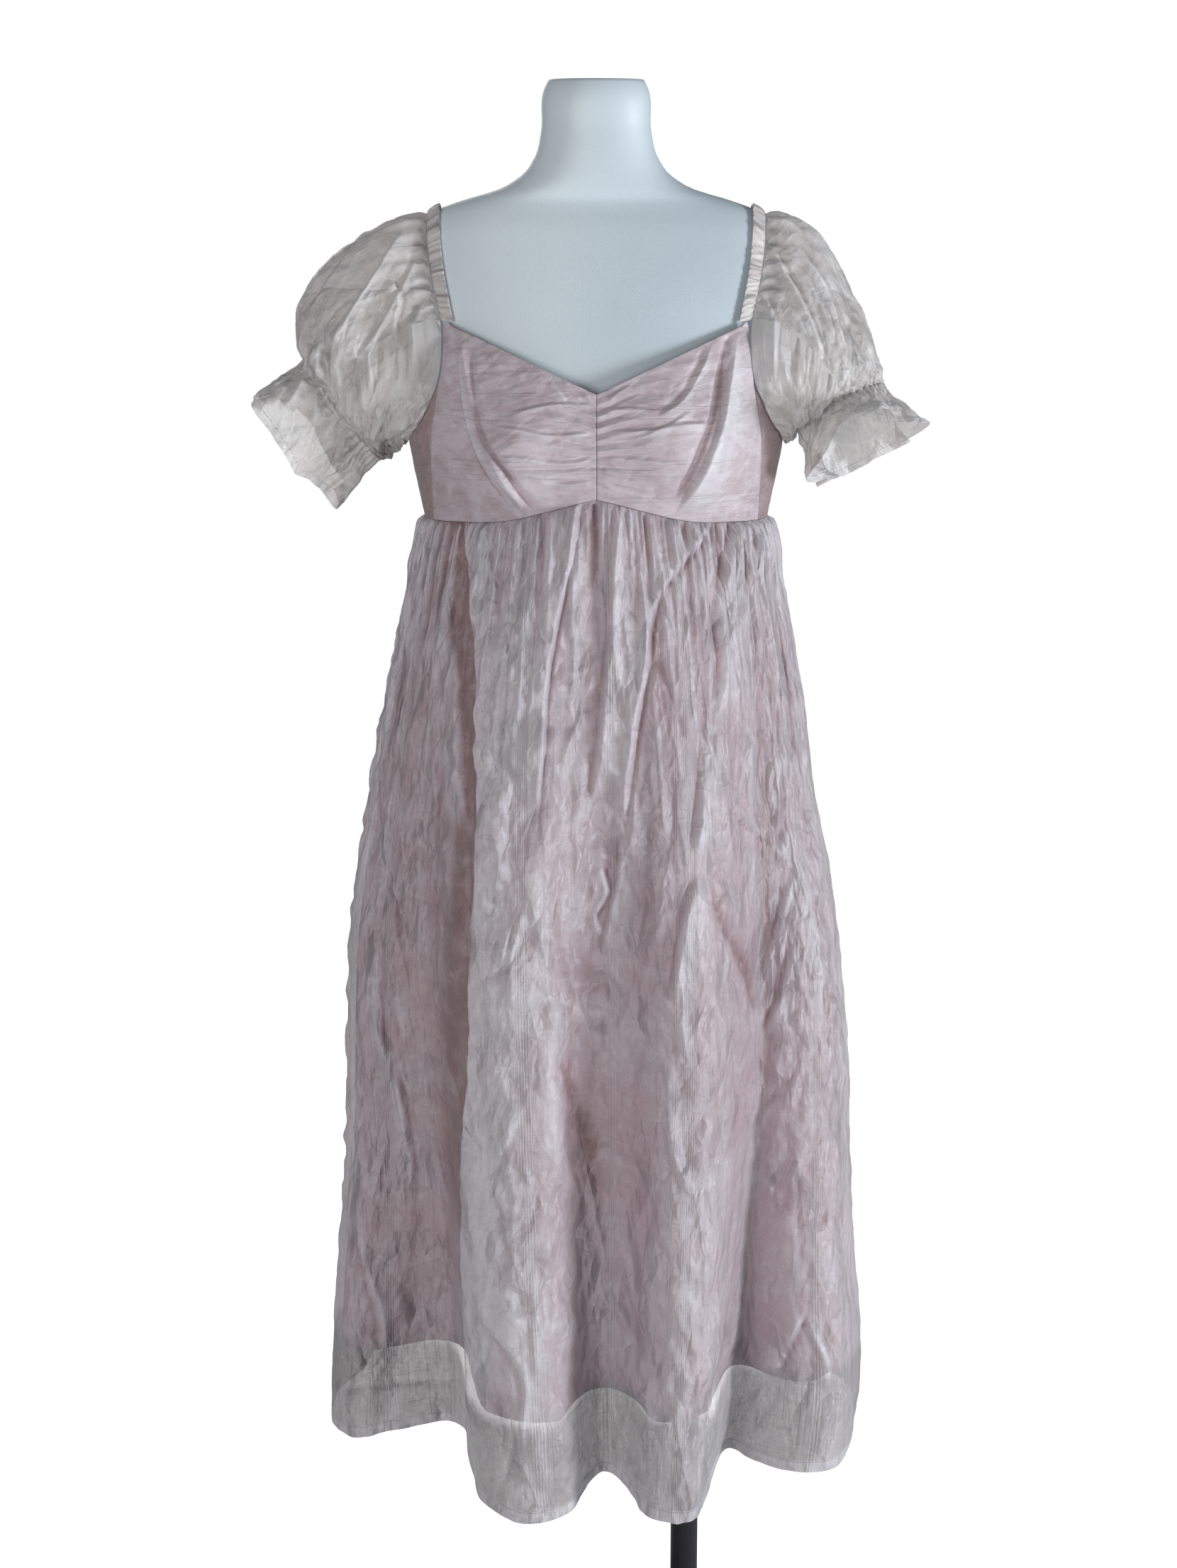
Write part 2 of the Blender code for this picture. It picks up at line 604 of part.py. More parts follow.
def band_spot(side, share, across, lift):
    """A place on the shoulder band's path: share runs from the front corner over to the back one."""
    front = bodice_point(np.array(CORNER_ANGLE), np.array(ARMHOLE[0].height))
    back = bodice_point(np.array(BACK_CORNER_ANGLE), np.array(ARMHOLE[-1].height))
    middle_y, middle_z = BAND_CENTRE
    first = math.atan2(front[2] - middle_z, front[1] - middle_y)
    last = math.atan2(back[2] - middle_z, back[1] - middle_y)
    first += 2 * math.pi if first < 0 else 0
    turn = first + (last - first) * share
    x = BAND_END_X + (BAND_TOP_X - BAND_END_X) * math.sin(math.pi * share) ** 0.8 + across
    low, high = 0.02, 0.25
    for _ in range(40):
        reach = (low + high) / 2
        if inside_form(x, middle_y + reach * math.cos(turn), middle_z + reach * math.sin(turn)):
            low = reach
        else:
            high = reach
    ends = abs(2 * share - 1) ** 3
    reach = low + BAND_LIFT_TOP + (BAND_LIFT_END - BAND_LIFT_TOP) * ends + lift
    return (side * x, middle_y + reach * math.cos(turn), middle_z + reach * math.sin(turn))


def build_bands():
    """Each band is a closed strip of four corners, swept over the shoulder and gathered on elastic."""
    steps = 2 * BAND_GATHERS
    for label, side in (("right", -1), ("left", 1)):
        band = bmesh.new()
        rings = []
        for i in range(steps + 1):
            share = BAND_END_SHARE + (1 - 2 * BAND_END_SHARE) * i / steps
            puff = BAND_GATHER_DEPTH * (1 if i % 2 else -1)
            corners = ((0, 0), (BAND_WIDTH, 0), (BAND_WIDTH, BAND_WALL + puff), (0, BAND_WALL + puff))
            rings.append([band.verts.new(band_spot(side, share, *corner)) for corner in corners])
        for first, second in zip(rings, rings[1:]):
            for j in range(4):
                k = (j + 1) % 4
                band.faces.new((first[j], second[j], second[k], first[k]))
        band.faces.new(rings[0])
        band.faces.new(rings[-1][::-1])
        bmesh.ops.recalc_face_normals(band, faces=band.faces)
        add_object(f"sleeve_band_{label}", band, SLEEVE_VEIL)


def sleeve_head(side, turn):
    """The loop that a sleeve is sewn to. turn runs 0 to 1: front corner, shoulder, back corner, underarm."""
    if turn <= 0.5:
        share = BAND_END_SHARE + (1 - 2 * BAND_END_SHARE) * turn * 2
        return np.array(band_spot(side, share, BAND_WIDTH + 2 * SEAM_GAP, BAND_WALL * 0.6))
    angle = BACK_STRAP_ANGLE + (STRAP_ANGLE - BACK_STRAP_ANGLE) * (turn - 0.5) * 2
    point = bodice_point(np.array(angle), bodice_edge_height(np.array(angle))) * (side, 1, 1)
    inward = unit((0, BAND_CENTRE[0] - point[1], 1.480 - point[2]))
    outward = unit((point[0], point[1], 0))
    return point + inward * SEAM_GAP + outward * (SLEEVE_WALL + 2 * SEAM_GAP)


def quarter_value(sleeve, name, turn):
    """A column of the sleeve's quarters, eased from one quarter to the next round the sleeve."""
    place = (turn * 4) % 4
    i = int(place)
    t = eased(place - i)
    first = getattr(sleeve.quarters[i], name)
    second = getattr(sleeve.quarters[(i + 1) % 4], name)
    return first + (second - first) * float(t)


def unit(vector):
    vector = np.asarray(vector, float)
    return vector / np.linalg.norm(vector)


def sleeve_line(side, sleeve, turn, index):
    """One line of a sleeve, from the armhole over the puff to the elastic and down the frill."""
    head = sleeve_head(side, turn)
    psi = 360 * turn
    top = unit(sleeve.top_axis)
    front = unit(np.asarray(sleeve.front_axis) - top * np.dot(sleeve.front_axis, top))
    mouth = np.cross(front, top) * -side
    across = math.cos(math.radians(psi))
    up = math.sin(math.radians(psi))
    around = top * up * sleeve.top_radius + front * across * sleeve.front_radius
    outward = unit(around)
    cuff = np.asarray(sleeve.cuff) + around
    spread = unit((0, head[1] - BAND_CENTRE[0], head[2] - 1.480))
    leave = head + (side * quarter_value(sleeve, "run_out", turn), 0, 0)
    leave = leave + spread * quarter_value(sleeve, "swell_in", turn)
    arrive = cuff + outward * quarter_value(sleeve, "swell_out", turn)
    arrive = arrive + mouth * quarter_value(sleeve, "hang_over", turn)
    flip = 1.0 if index % 2 else -1.0
    line = []
    for row in range(PUFF_ROWS + 1):
        t = row / PUFF_ROWS
        point = head * (1 - t) ** 3 + leave * 3 * t * (1 - t) ** 2 + arrive * 3 * t * t * (1 - t) + cuff * t**3
        line.append(point + outward * flip * CUFF_GATHER_DEPTH * float(eased(t * 3 - 2)))
    flare = math.radians(quarter_value(sleeve, "flare", turn))
    wave = FRILL_WAVE * math.sin(math.radians(sleeve.waves * psi + sleeve.phase))
    from_lobe = (psi - sleeve.lobe + 180) % 360 - 180
    wave += sleeve.lobe_reach * math.exp(-((from_lobe / LOBE_WIDTH) ** 2))
    along = unit(sleeve.frill_axis) * math.cos(flare) + outward * math.sin(flare)
    for share in FRILL_SHARES:
        gather = flip * CUFF_GATHER_DEPTH * float(eased(1 - share * 3))
        line.append(cuff + along * sleeve.frill_length * share + outward * (wave * share + gather))
    return line


def build_sleeves():
    for label, side, sleeve in (("right", -1, RIGHT_SLEEVE), ("left", 1, LEFT_SLEEVE)):
        lines = [sleeve_line(side, sleeve, i / SLEEVE_COLUMNS, i) for i in range(SLEEVE_COLUMNS)]
        grid = np.array(lines).transpose(1, 0, 2)
        if side > 0:
            grid = grid[:, ::-1]
        cloth(f"sleeve_{label}", grid, SLEEVE_WALL, SLEEVE_VEIL, closed=True)


def build_form():
    """The smooth limbless form, a stack of ovals closed at the neck cap and the underside."""
    form = bmesh.new()
    angles = np.linspace(0, 360, 28, endpoint=False)
    rings = []
    for level in FORM_LEVELS:
        points = form_point(angles, np.array(level.height))
        rings.append([form.verts.new(point) for point in points])
    for lower, upper in zip(rings, rings[1:]):
        for i in range(len(lower)):
            j = (i + 1) % len(lower)
            form.faces.new((lower[i], lower[j], upper[j], upper[i]))
    form.faces.new(rings[0][::-1])
    form.faces.new(rings[-1])
    add_object("form_torso", form, FORM_WHITE)


def turned_solid(name, profile, x, finish, segments=24):
    """A turned piece from a profile of radius and height pairs, standing at x."""
    turned = bmesh.new()
    points = [turned.verts.new((radius, 0, height)) for radius, height in profile]
    edges = [turned.edges.new(pair) for pair in zip(points, points[1:])]
    bmesh.ops.spin(
        turned, geom=points + edges, cent=(0, 0, 0), axis=(0, 0, 1), angle=math.tau, steps=segments, use_merge=True
    )
    bmesh.ops.remove_doubles(turned, verts=turned.verts, dist=1e-5)
    bmesh.ops.recalc_face_normals(turned, faces=turned.faces)
    thing = add_object(name, turned, finish)
    thing.data.set_sharp_from_angle(angle=math.radians(40))
    thing.location.x = x
    return thing


def build_stand():
    """A round base plate, a hub, the pole, and the socket under the form."""
    edge = 0.002
    base = (
        (0, 0),
        (BASE_RADIUS - edge, 0),
        (BASE_RADIUS, edge),
        (BASE_RADIUS, BASE_THICKNESS - edge),
        (BASE_RADIUS - edge, BASE_THICKNESS),
        (0, BASE_THICKNESS),
    )
    turned_solid("stand_base", base, 0, STAND_BLACK, 40)
    hub_bottom = BASE_THICKNESS + SEAM_GAP
    hub_top = hub_bottom + HUB_HEIGHT
    bore = POLE_RADIUS + POLE_CLEARANCE
    hub = (
        (bore, hub_bottom),
        (HUB_RADIUS, hub_bottom),
        (HUB_RADIUS, hub_bottom + 0.008),
        (HUB_RADIUS - 0.006, hub_top - 0.002),
        (HUB_RADIUS - 0.008, hub_top),
        (bore, hub_top),
        (bore, hub_bottom),
    )
    turned_solid("stand_hub", hub, POLE_X, STAND_BLACK)
    socket_top = FORM_LEVELS[0].height - SEAM_GAP
    pole_top = socket_top - SOCKET_PLATE - SEAM_GAP
    pole = ((0, hub_bottom), (POLE_RADIUS, hub_bottom), (POLE_RADIUS, pole_top), (0, pole_top))
    turned_solid("stand_pole", pole, POLE_X, STAND_BLACK)
    collar_bottom = socket_top - SOCKET_DEPTH
    socket = (
        (0, pole_top + SEAM_GAP),
        (bore, pole_top + SEAM_GAP),
        (bore, collar_bottom),
        (SOCKET_COLLAR_RADIUS, collar_bottom),
        (SOCKET_COLLAR_RADIUS, socket_top - SOCKET_PLATE),
        (SOCKET_RADIUS, socket_top - SOCKET_PLATE),
        (SOCKET_RADIUS, socket_top),
        (0, socket_top),
    )
    turned_solid("stand_socket", socket, POLE_X, STAND_BLACK)


def main():
    for thing in list(bpy.data.objects):
        bpy.data.objects.remove(thing)
    build_form()
    build_stand()
    build_bodice()
    build_bands()
    build_sleeves()
    build_lining()
    build_skirt()


main()
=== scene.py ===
import math

import bmesh
import bpy
import numpy as np
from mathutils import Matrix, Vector


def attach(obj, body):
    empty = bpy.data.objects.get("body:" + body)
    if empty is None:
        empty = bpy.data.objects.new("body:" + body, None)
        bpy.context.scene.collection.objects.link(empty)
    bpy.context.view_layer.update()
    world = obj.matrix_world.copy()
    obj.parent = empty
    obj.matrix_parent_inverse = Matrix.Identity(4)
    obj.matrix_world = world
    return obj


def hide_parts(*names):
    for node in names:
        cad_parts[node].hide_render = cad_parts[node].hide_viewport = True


# A sheer regency gown on a limbless dress form. Metres, degrees, +Z up.
# The gown faces -Y and the wearer's left is +X.

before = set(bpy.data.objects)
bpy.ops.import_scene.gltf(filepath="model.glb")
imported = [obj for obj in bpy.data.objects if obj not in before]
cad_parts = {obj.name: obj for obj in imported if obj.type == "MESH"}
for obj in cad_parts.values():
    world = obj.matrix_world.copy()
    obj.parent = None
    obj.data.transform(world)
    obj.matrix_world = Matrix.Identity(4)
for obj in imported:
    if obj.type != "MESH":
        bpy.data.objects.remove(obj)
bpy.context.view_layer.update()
print("frame loaded:", len(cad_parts), "CAD nodes")


# small helpers

def smoothCurve(keys, values, at):
    # values on a smooth curve through the given points
    keys = np.asarray(keys, float)
    values = np.asarray(values, float)
    at = np.clip(np.asarray(at, float), keys[0], keys[-1])
    slopes = np.gradient(values, keys)
    i = np.clip(np.searchsorted(keys, at, side="right") - 1, 0, len(keys) - 2)
    span = keys[i + 1] - keys[i]
    t = (at - keys[i]) / span
    start = values[i] * (1 + 2 * t) * (1 - t) ** 2 + slopes[i] * span * t * (1 - t) ** 2
    end = values[i + 1] * t * t * (3 - 2 * t) + slopes[i + 1] * span * t * t * (t - 1)
    return start + end


def fromTable(rows, column, at):
    table = np.array(rows, float)
    return smoothCurve(table[:, 0], table[:, column], at)


def eased(t):
    t = np.clip(t, 0, 1)
    return t * t * (3 - 2 * t)


def unitRows(vectors):
    return vectors / np.linalg.norm(vectors, axis=-1, keepdims=True)


def scatter(a, b, seed):
    # a fixed number from 0 to 1 for each pair of whole numbers
    mixed = np.sin(a * 127.1 + b * 311.7 + seed * 74.7) * 43758.5453
    return mixed - np.floor(mixed)


def clouds(x, y, seed):
    # soft random hills, -1 to 1
    i, j = np.floor(x), np.floor(y)
    s, t = eased(x - i), eased(y - j)
    low = scatter(i, j, seed) * (1 - s) + scatter(i + 1, j, seed) * s
    high = scatter(i, j + 1, seed) * (1 - s) + scatter(i + 1, j + 1, seed) * s
    return 2 * (low * (1 - t) + high * t) - 1


def facets(x, y, seed):
    # crumpled cloth: flat-sided buckles round scattered points, with crisp creases where they meet
    i, j = np.floor(x), np.floor(y)
    nearest = np.full(np.shape(x), 9.0)
    for di in (-1, 0, 1):
        for dj in (-1, 0, 1):
            a, b = i + di, j + dj
            away = np.abs(x - a - scatter(a, b, seed)) + np.abs(y - b - scatter(a, b, seed + 1))
            nearest = np.minimum(nearest, away)
    return nearest - 0.55


def crumple(across, down, spread, lean, seed):
    # facets of a given size in metres, warped and leaning to one side
    warp = spread * 0.5 * clouds(across / spread / 1.7, down / spread / 3.1, seed + 5)
    x = (across + down * lean + warp) / spread
    y = (down - across * lean * 0.5 + warp) / (spread * 1.8)
    return facets(x, y, seed)


def buckled(across, down, seed, spread, lean, depth, draw):
    # the same facets as a lift in metres; draw is added to the seed
    return crumple(across, down, spread, lean, seed + draw) * depth


def layOut(name, columns, rows, shape, wrapped=False, centre=None):
    # a flat grid of faces laid out in space; shape gives each corner its place, its spot on the
    # flat cut in metres, and any other value that its material reads
    cloth = bmesh.new()
    bmesh.ops.create_grid(cloth, x_segments=columns, y_segments=rows, size=0.5)
    flat = np.array([vert.co[:2] for vert in cloth.verts])
    order = np.lexsort((flat[:, 0].round(6), flat[:, 1].round(6)))
    u = flat[order, 0].reshape(rows + 1, columns + 1) + 0.5
    v = flat[order, 1].reshape(rows + 1, columns + 1) + 0.5
    laid = shape(u, v)
    place, cut = laid.pop("place").reshape(-1, 3), laid.pop("cut").reshape(-1, 2)
    uvLayer = cloth.loops.layers.uv.new("cut")
    layers = []
    for key, values in laid.items():
        layers.append((cloth.verts.layers.float.new(key), np.broadcast_to(values, u.shape).reshape(-1)))
    cloth.verts.index_update()
    verts = list(cloth.verts)
    spotOf = np.argsort(order)
    for rank, index in enumerate(order):
        verts[index].co = place[rank]
        for layer, values in layers:
            verts[index][layer] = values[rank]
    for face in cloth.faces:
        for loop in face.loops:
            loop[uvLayer].uv = cut[spotOf[loop.vert.index]]
    if wrapped:
        bmesh.ops.remove_doubles(cloth, verts=cloth.verts, dist=2e-5)
    cloth.normal_update()
    outward = 0.0
    for face in list(cloth.faces)[::7]:
        middle = face.calc_center_median()
        outward += face.normal.dot(middle - (centre or Vector((0, 0, middle.z))))
    if outward < 0:
        bmesh.ops.reverse_faces(cloth, faces=cloth.faces)
    return finishMesh(name, cloth)


def finishMesh(name, shape, smooth=True):
    mesh = bpy.data.meshes.new(name)
    shape.to_mesh(mesh)
    shape.free()
    if smooth:
        mesh.shade_smooth()
    piece = bpy.data.objects.new(name, mesh)
    bpy.context.scene.collection.objects.link(piece)
    return piece


def thicken(piece, wall):
    solid = piece.modifiers.new("wall", "SOLIDIFY")
    solid.thickness = wall
    solid.offset = -1
    solid.use_even_offset = False
    return piece


def dress(piece, look, nodes):
    piece.data.materials.clear()
    piece.data.materials.append(look.material)
    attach(piece, "root")
    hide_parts(*nodes)


# camera, at the photograph's angle

cameraSettings = {"place": (-0.0073, -2.5, 1.575), "tilt": 77.5, "lens": 58.1, "photoLens": 3571.0}

lensData = bpy.data.cameras.new("camera")
lensData.sensor_fit = "VERTICAL"
lensData.sensor_height = 36.0
lensData.lens = cameraSettings["lens"]
camera = bpy.data.objects.new("camera", lensData)
camera.location = cameraSettings["place"]
camera.rotation_euler = (math.radians(cameraSettings["tilt"]), 0, 0)
bpy.context.scene.collection.objects.link(camera)
bpy.context.scene.camera = camera


def photoSpot(points):
    # where a place shows in the photograph, in its 1660 x 2212 pixels
    x, y, z = (points[..., i] - cameraSettings["place"][i] for i in range(3))
    tilt = math.radians(90 - cameraSettings["tilt"])
    away = y * math.cos(tilt) - z * math.sin(tilt)
    up = y * math.sin(tilt) + z * math.cos(tilt)
    scale = cameraSettings["photoLens"] / away
    return 830 + x * scale, 1106 - up * scale, 1000 / scale


foldMake = {
    "reach": 3.2,  # how many reaches away a fold still shows
    # the hollow beside a fold's steep side: where, how wide and how deep, as shares of the fold
    "hollow": (2.2, 0.9, 0.45),
    # shares of its line over which a fold rises and fades
    "rises": 0.18, "fades": 0.22,
}


def pressFolds(points, folds, startsFull=0):
    # how far the cloth is lifted or sunk by folds placed as the photograph shows them. Each fold is its
    # height, its reach to the left and to the right in millimetres, and the spots that its line follows
    px, py, millimetre = photoSpot(points)
    lifted = np.zeros(px.shape)
    hollowAt, hollowWidth, hollowDepth = foldMake["hollow"]
    for height, left, right, *spots in folds:
        line = np.array(spots, float).reshape(-1, 2)
        along = np.append(0, np.cumsum(np.hypot(*np.diff(line, axis=0).T)))
        steps = np.linspace(0, along[-1], 3 * len(line) + 1)
        smooth = np.stack([smoothCurve(along, line[:, k], steps) for k in (0, 1)], axis=-1)
        reach = foldMake["reach"] * max(left, right) / millimetre.min()
        near = (px > smooth[:, 0].min() - reach) & (px < smooth[:, 0].max() + reach)
        near &= (py > smooth[:, 1].min() - reach) & (py < smooth[:, 1].max() + reach)
        if not near.any():
            continue
        x, y, scale = px[near], py[near], millimetre[near]
        best = np.full(x.shape, 1e9)
        signed = np.zeros(x.shape)
        share = np.zeros(x.shape)
        for i in range(len(smooth) - 1):
            ax, ay = smooth[i]
            dx, dy = smooth[i + 1] - smooth[i]
            length = math.hypot(dx, dy)
            t = np.clip(((x - ax) * dx + (y - ay) * dy) / length**2, 0, 1)
            gap = np.hypot(x - ax - t * dx, y - ay - t * dy)
            closer = gap < best
            best = np.where(closer, gap, best)
            side = dx * (y - ay) - dy * (x - ax)
            signed = np.where(closer, side, signed)
            share = np.where(closer, (steps[i] + t * length) / along[-1], share)
        gap = best * scale / np.where(signed > 0, left, right)
        steep = (signed > 0) == (left < right)
        hollow = np.where(steep, np.exp(-(((gap - hollowAt) / hollowWidth) ** 2)), 0) * hollowDepth
        hollow = hollow * (height > 0)
        ends = eased((1 - share) / foldMake["fades"])
        if line[0][1] > startsFull:
            ends = ends * eased(share / foldMake["rises"])
        lifted[near] += height * 0.001 * (np.exp(-(gap**1.05)) - hollow) * ends
    return lifted


# shader maths

class Strand:
    # wraps a socket, so that an expression on it adds its Math nodes
    def __init__(self, look, socket):
        self.look = look
        self.socket = socket

    def maths(self, operation, *values):
        return self.look.node("ShaderNodeMath", {"operation": operation}, dict(enumerate(values)))

    def __add__(self, other):
        return self.maths("ADD", self, other)

    __radd__ = __add__

    def __mul__(self, other):
        return self.maths("MULTIPLY", self, other)

    __rmul__ = __mul__

    def __sub__(self, other):
        return self.maths("SUBTRACT", self, other)

    def __rsub__(self, other):
        return self.maths("SUBTRACT", other, self)

    def between(self, low, high):
        # 0 below low, 1 above high, eased in between
        return self.look.node(
            "ShaderNodeMapRange",
            {"interpolation_type": "SMOOTHSTEP"},
            {"Value": self, "From Min": low, "From Max": high},
        )

    def away(self):
        return self.maths("ABSOLUTE", self)

    def zigzag(self, step):
        # up and down between 0 and the step
        return self.maths("PINGPONG", self, step)

    def clipped(self, low, high):
        return self.maths("MINIMUM", self.maths("MAXIMUM", self, low), high)


class Look:
    # a material on one Principled shader
    def __init__(self, name, **sockets):
        self.material = bpy.data.materials.new(name)
        self.material.use_nodes = True
        self.tree = self.material.node_tree
        self.shader = self.tree.nodes["Principled BSDF"]
        for key, value in sockets.items():
            self.set(key.replace("_", " "), value)

    def node(self, kind, settings=None, sockets=None, output=0):
        made = self.tree.nodes.new(kind)
        for key, value in (settings or {}).items():
            setattr(made, key, value)
        for key, value in (sockets or {}).items():
            self.feed(made.inputs[key], value)
        return Strand(self, made.outputs[output])

    def feed(self, socket, value):
        if isinstance(value, Strand):
            self.tree.links.new(value.socket, socket)
        else:
            socket.default_value = value

    def set(self, key, value):
        self.feed(self.shader.inputs[key], value)

    def cut(self):
        return self.node("ShaderNodeUVMap", {"uv_map": "cut"})

    def place(self):
        return self.node("ShaderNodeTexCoord", output="Object")

    def value(self, key):
        return self.node("ShaderNodeAttribute", {"attribute_name": key}, output="Fac")

    def scaled(self, coords, *sizes):
        # coordinates divided by a size in metres for each direction
        factors = tuple(1 / size for size in sizes) + (1,) * (3 - len(sizes))
        return self.vectors("MULTIPLY", coords, factors)

    def turnedCut(self, degrees, *sizes):
        # the flat cut, turned and divided by the sizes
        sockets = {"Vector": self.cut(), "Angle": math.radians(degrees)}
        return self.scaled(self.node("ShaderNodeVectorRotate", {"rotation_type": "Z_AXIS"}, sockets), *sizes)

    def vectors(self, operation, *values, output=0):
        return self.node("ShaderNodeVectorMath", {"operation": operation}, dict(enumerate(values)), output)

    def noise(self, coords, detail=2.0, rough=0.5, swirl=0.0):
        return self.node(
            "ShaderNodeTexNoise",
            {"noise_dimensions": "3D"},
            {"Vector": coords, "Scale": 1.0, "Detail": detail, "Roughness": rough, "Distortion": swirl},
        )

    def diamonds(self, degrees, sizes, warp):
        # flat-sided cells that meet in crisp creases: their coordinates, and a Strand for each output
        coords = self.turnedCut(degrees, *sizes)
        drift = self.node("ShaderNodeTexNoise", {}, {"Vector": coords, "Scale": 0.7, "Detail": 1.0}, "Color")
        coords = self.vectors("MULTIPLY_ADD", drift, (warp,) * 3, coords)
        sockets = {"Vector": coords, "Scale": 1.0}
        distance = self.node("ShaderNodeTexVoronoi", {"distance": "MANHATTAN"}, sockets, "Distance")
        outputs = distance.socket.node.outputs
        return coords, distance, Strand(self, outputs["Color"]), Strand(self, outputs["Position"])

    def buckles(self, degrees, *sizes, warp=0.9):
        return self.diamonds(degrees, sizes, warp)[1]

    def creases(self, degrees, *sizes):
        # 0 on sharp crease lines and up to about 0.5 in the hollows between them
        return (self.noise(self.turnedCut(degrees, *sizes), detail=1.0, rough=0.4, swirl=0.3) - 0.5).away()

    def tilted(self, degrees, *sizes, warp=0.5):
        # flat facets: the height that each one's own slope gives, and a tone from 0 to 1 for each facet,
        # which the organza uses as painted light
        coords, dish, chance, middle = self.diamonds(degrees, sizes, warp)
        lean = self.vectors("SUBTRACT", chance, (0.5, 0.5, 0.5))
        slope = self.vectors("DOT_PRODUCT", self.vectors("SUBTRACT", coords, middle), lean, output="Value")
        return slope - dish * 0.45, self.parts(chance)[2]

    def weave(self, long, upright, level):
        # fine threads of one length both ways, and how thick the upright and the level ones are
        threads = self.noise(self.scaled(self.cut(), upright, long), detail=0.0)
        return threads + self.noise(self.scaled(self.cut(), long, level), detail=0.0)

    def blend(self, share, first, second):
        first, second = (c if isinstance(c, Strand) else (*c, 1.0) for c in (first, second))
        return self.node("ShaderNodeMix", {"data_type": "RGBA"}, {0: share, 6: first, 7: second}, output=2)

    def parts(self, coords):
        split = self.tree.nodes.new("ShaderNodeSeparateXYZ")
        self.feed(split.inputs[0], coords)
        return [Strand(self, split.outputs[i]) for i in range(3)]

    def bumps(self, height, depth):
        return self.node("ShaderNodeBump", {}, {"Height": height, "Distance": depth, "Strength": 1.0})


# finishes

organzaTints = {
    # deep is painted shade for the hollows between the folds, and pale is also the painted highlight on
    # lifted cloth
    "deep": (0.330, 0.215, 0.222),
    "pink": (0.505, 0.390, 0.422),
    "mauve": (0.545, 0.463, 0.505),
    "pale": (0.735, 0.730, 0.780),
    # painted shade: the darker grey for cloth with no lining behind it
    "unlinedShade": (0.308, 0.298, 0.304),
    "thread": (0.36, 0.30, 0.32),
    "opaque": 0.62,
    "hemWidth": 0.012,
    # depth of the large and middle facets, the small creases and the long ones, in millimetres
    "depths": (16.0, 9.0, 3.4, 9.0),
    # groups of thicker vertical threads: place across the flat cut and half width, in metres
    "stripes": (
        (-0.362, 0.008), (-0.103, 0.009), (0.015, 0.006), (0.109, 0.004), (0.130, 0.010),
        (0.278, 0.009), (0.392, 0.006),
    ),
}
organzaCloth = {
    # sizes across and down the flat cut, in metres
    "washes": (0.17, 0.11),
    "mottle": (0.028, 0.018),
    "calm": (0.12, 0.10),
    "grain": (0.0024, 0.0060),
    # degrees that they lean, then sizes
    "largeFacets": (16, 0.030, 0.075),
    "middleFacets": (-24, 0.015, 0.040),
    "smallCreases": (33, 0.010, 0.016),
    "longCreases": ((13, 0.017, 0.085), (-19, 0.024, 0.070)),
    # width and length of a slub thread and of a group of them, and their density
    "uprightSlubs": (0.0014, 0.16, 0.045, 0.50, 0.60),
    "levelSlubs": (0.10, 0.0012, 0.15, 0.03, 0.64),
    "threads": (0.012, 0.0009, 0.0009),
    "ribPitch": 0.0017,
    "ribEdges": (0.0006, 0.0012),
    "stitchPitch": 0.0016,
    "stitchEdges": (0.0004, 0.0008),
    "stitchInset": 0.0014,
}


def slubLines(look, across, down, width, length, density):
    # thin uneven threads in loose groups
    lines = look.noise(look.scaled(look.cut(), across, down), detail=1.0, rough=0.6)
    groups = look.noise(look.scaled(look.cut(), width, length), detail=1.0)
    return lines.between(density, density + 0.10) * groups.between(0.46, 0.58)


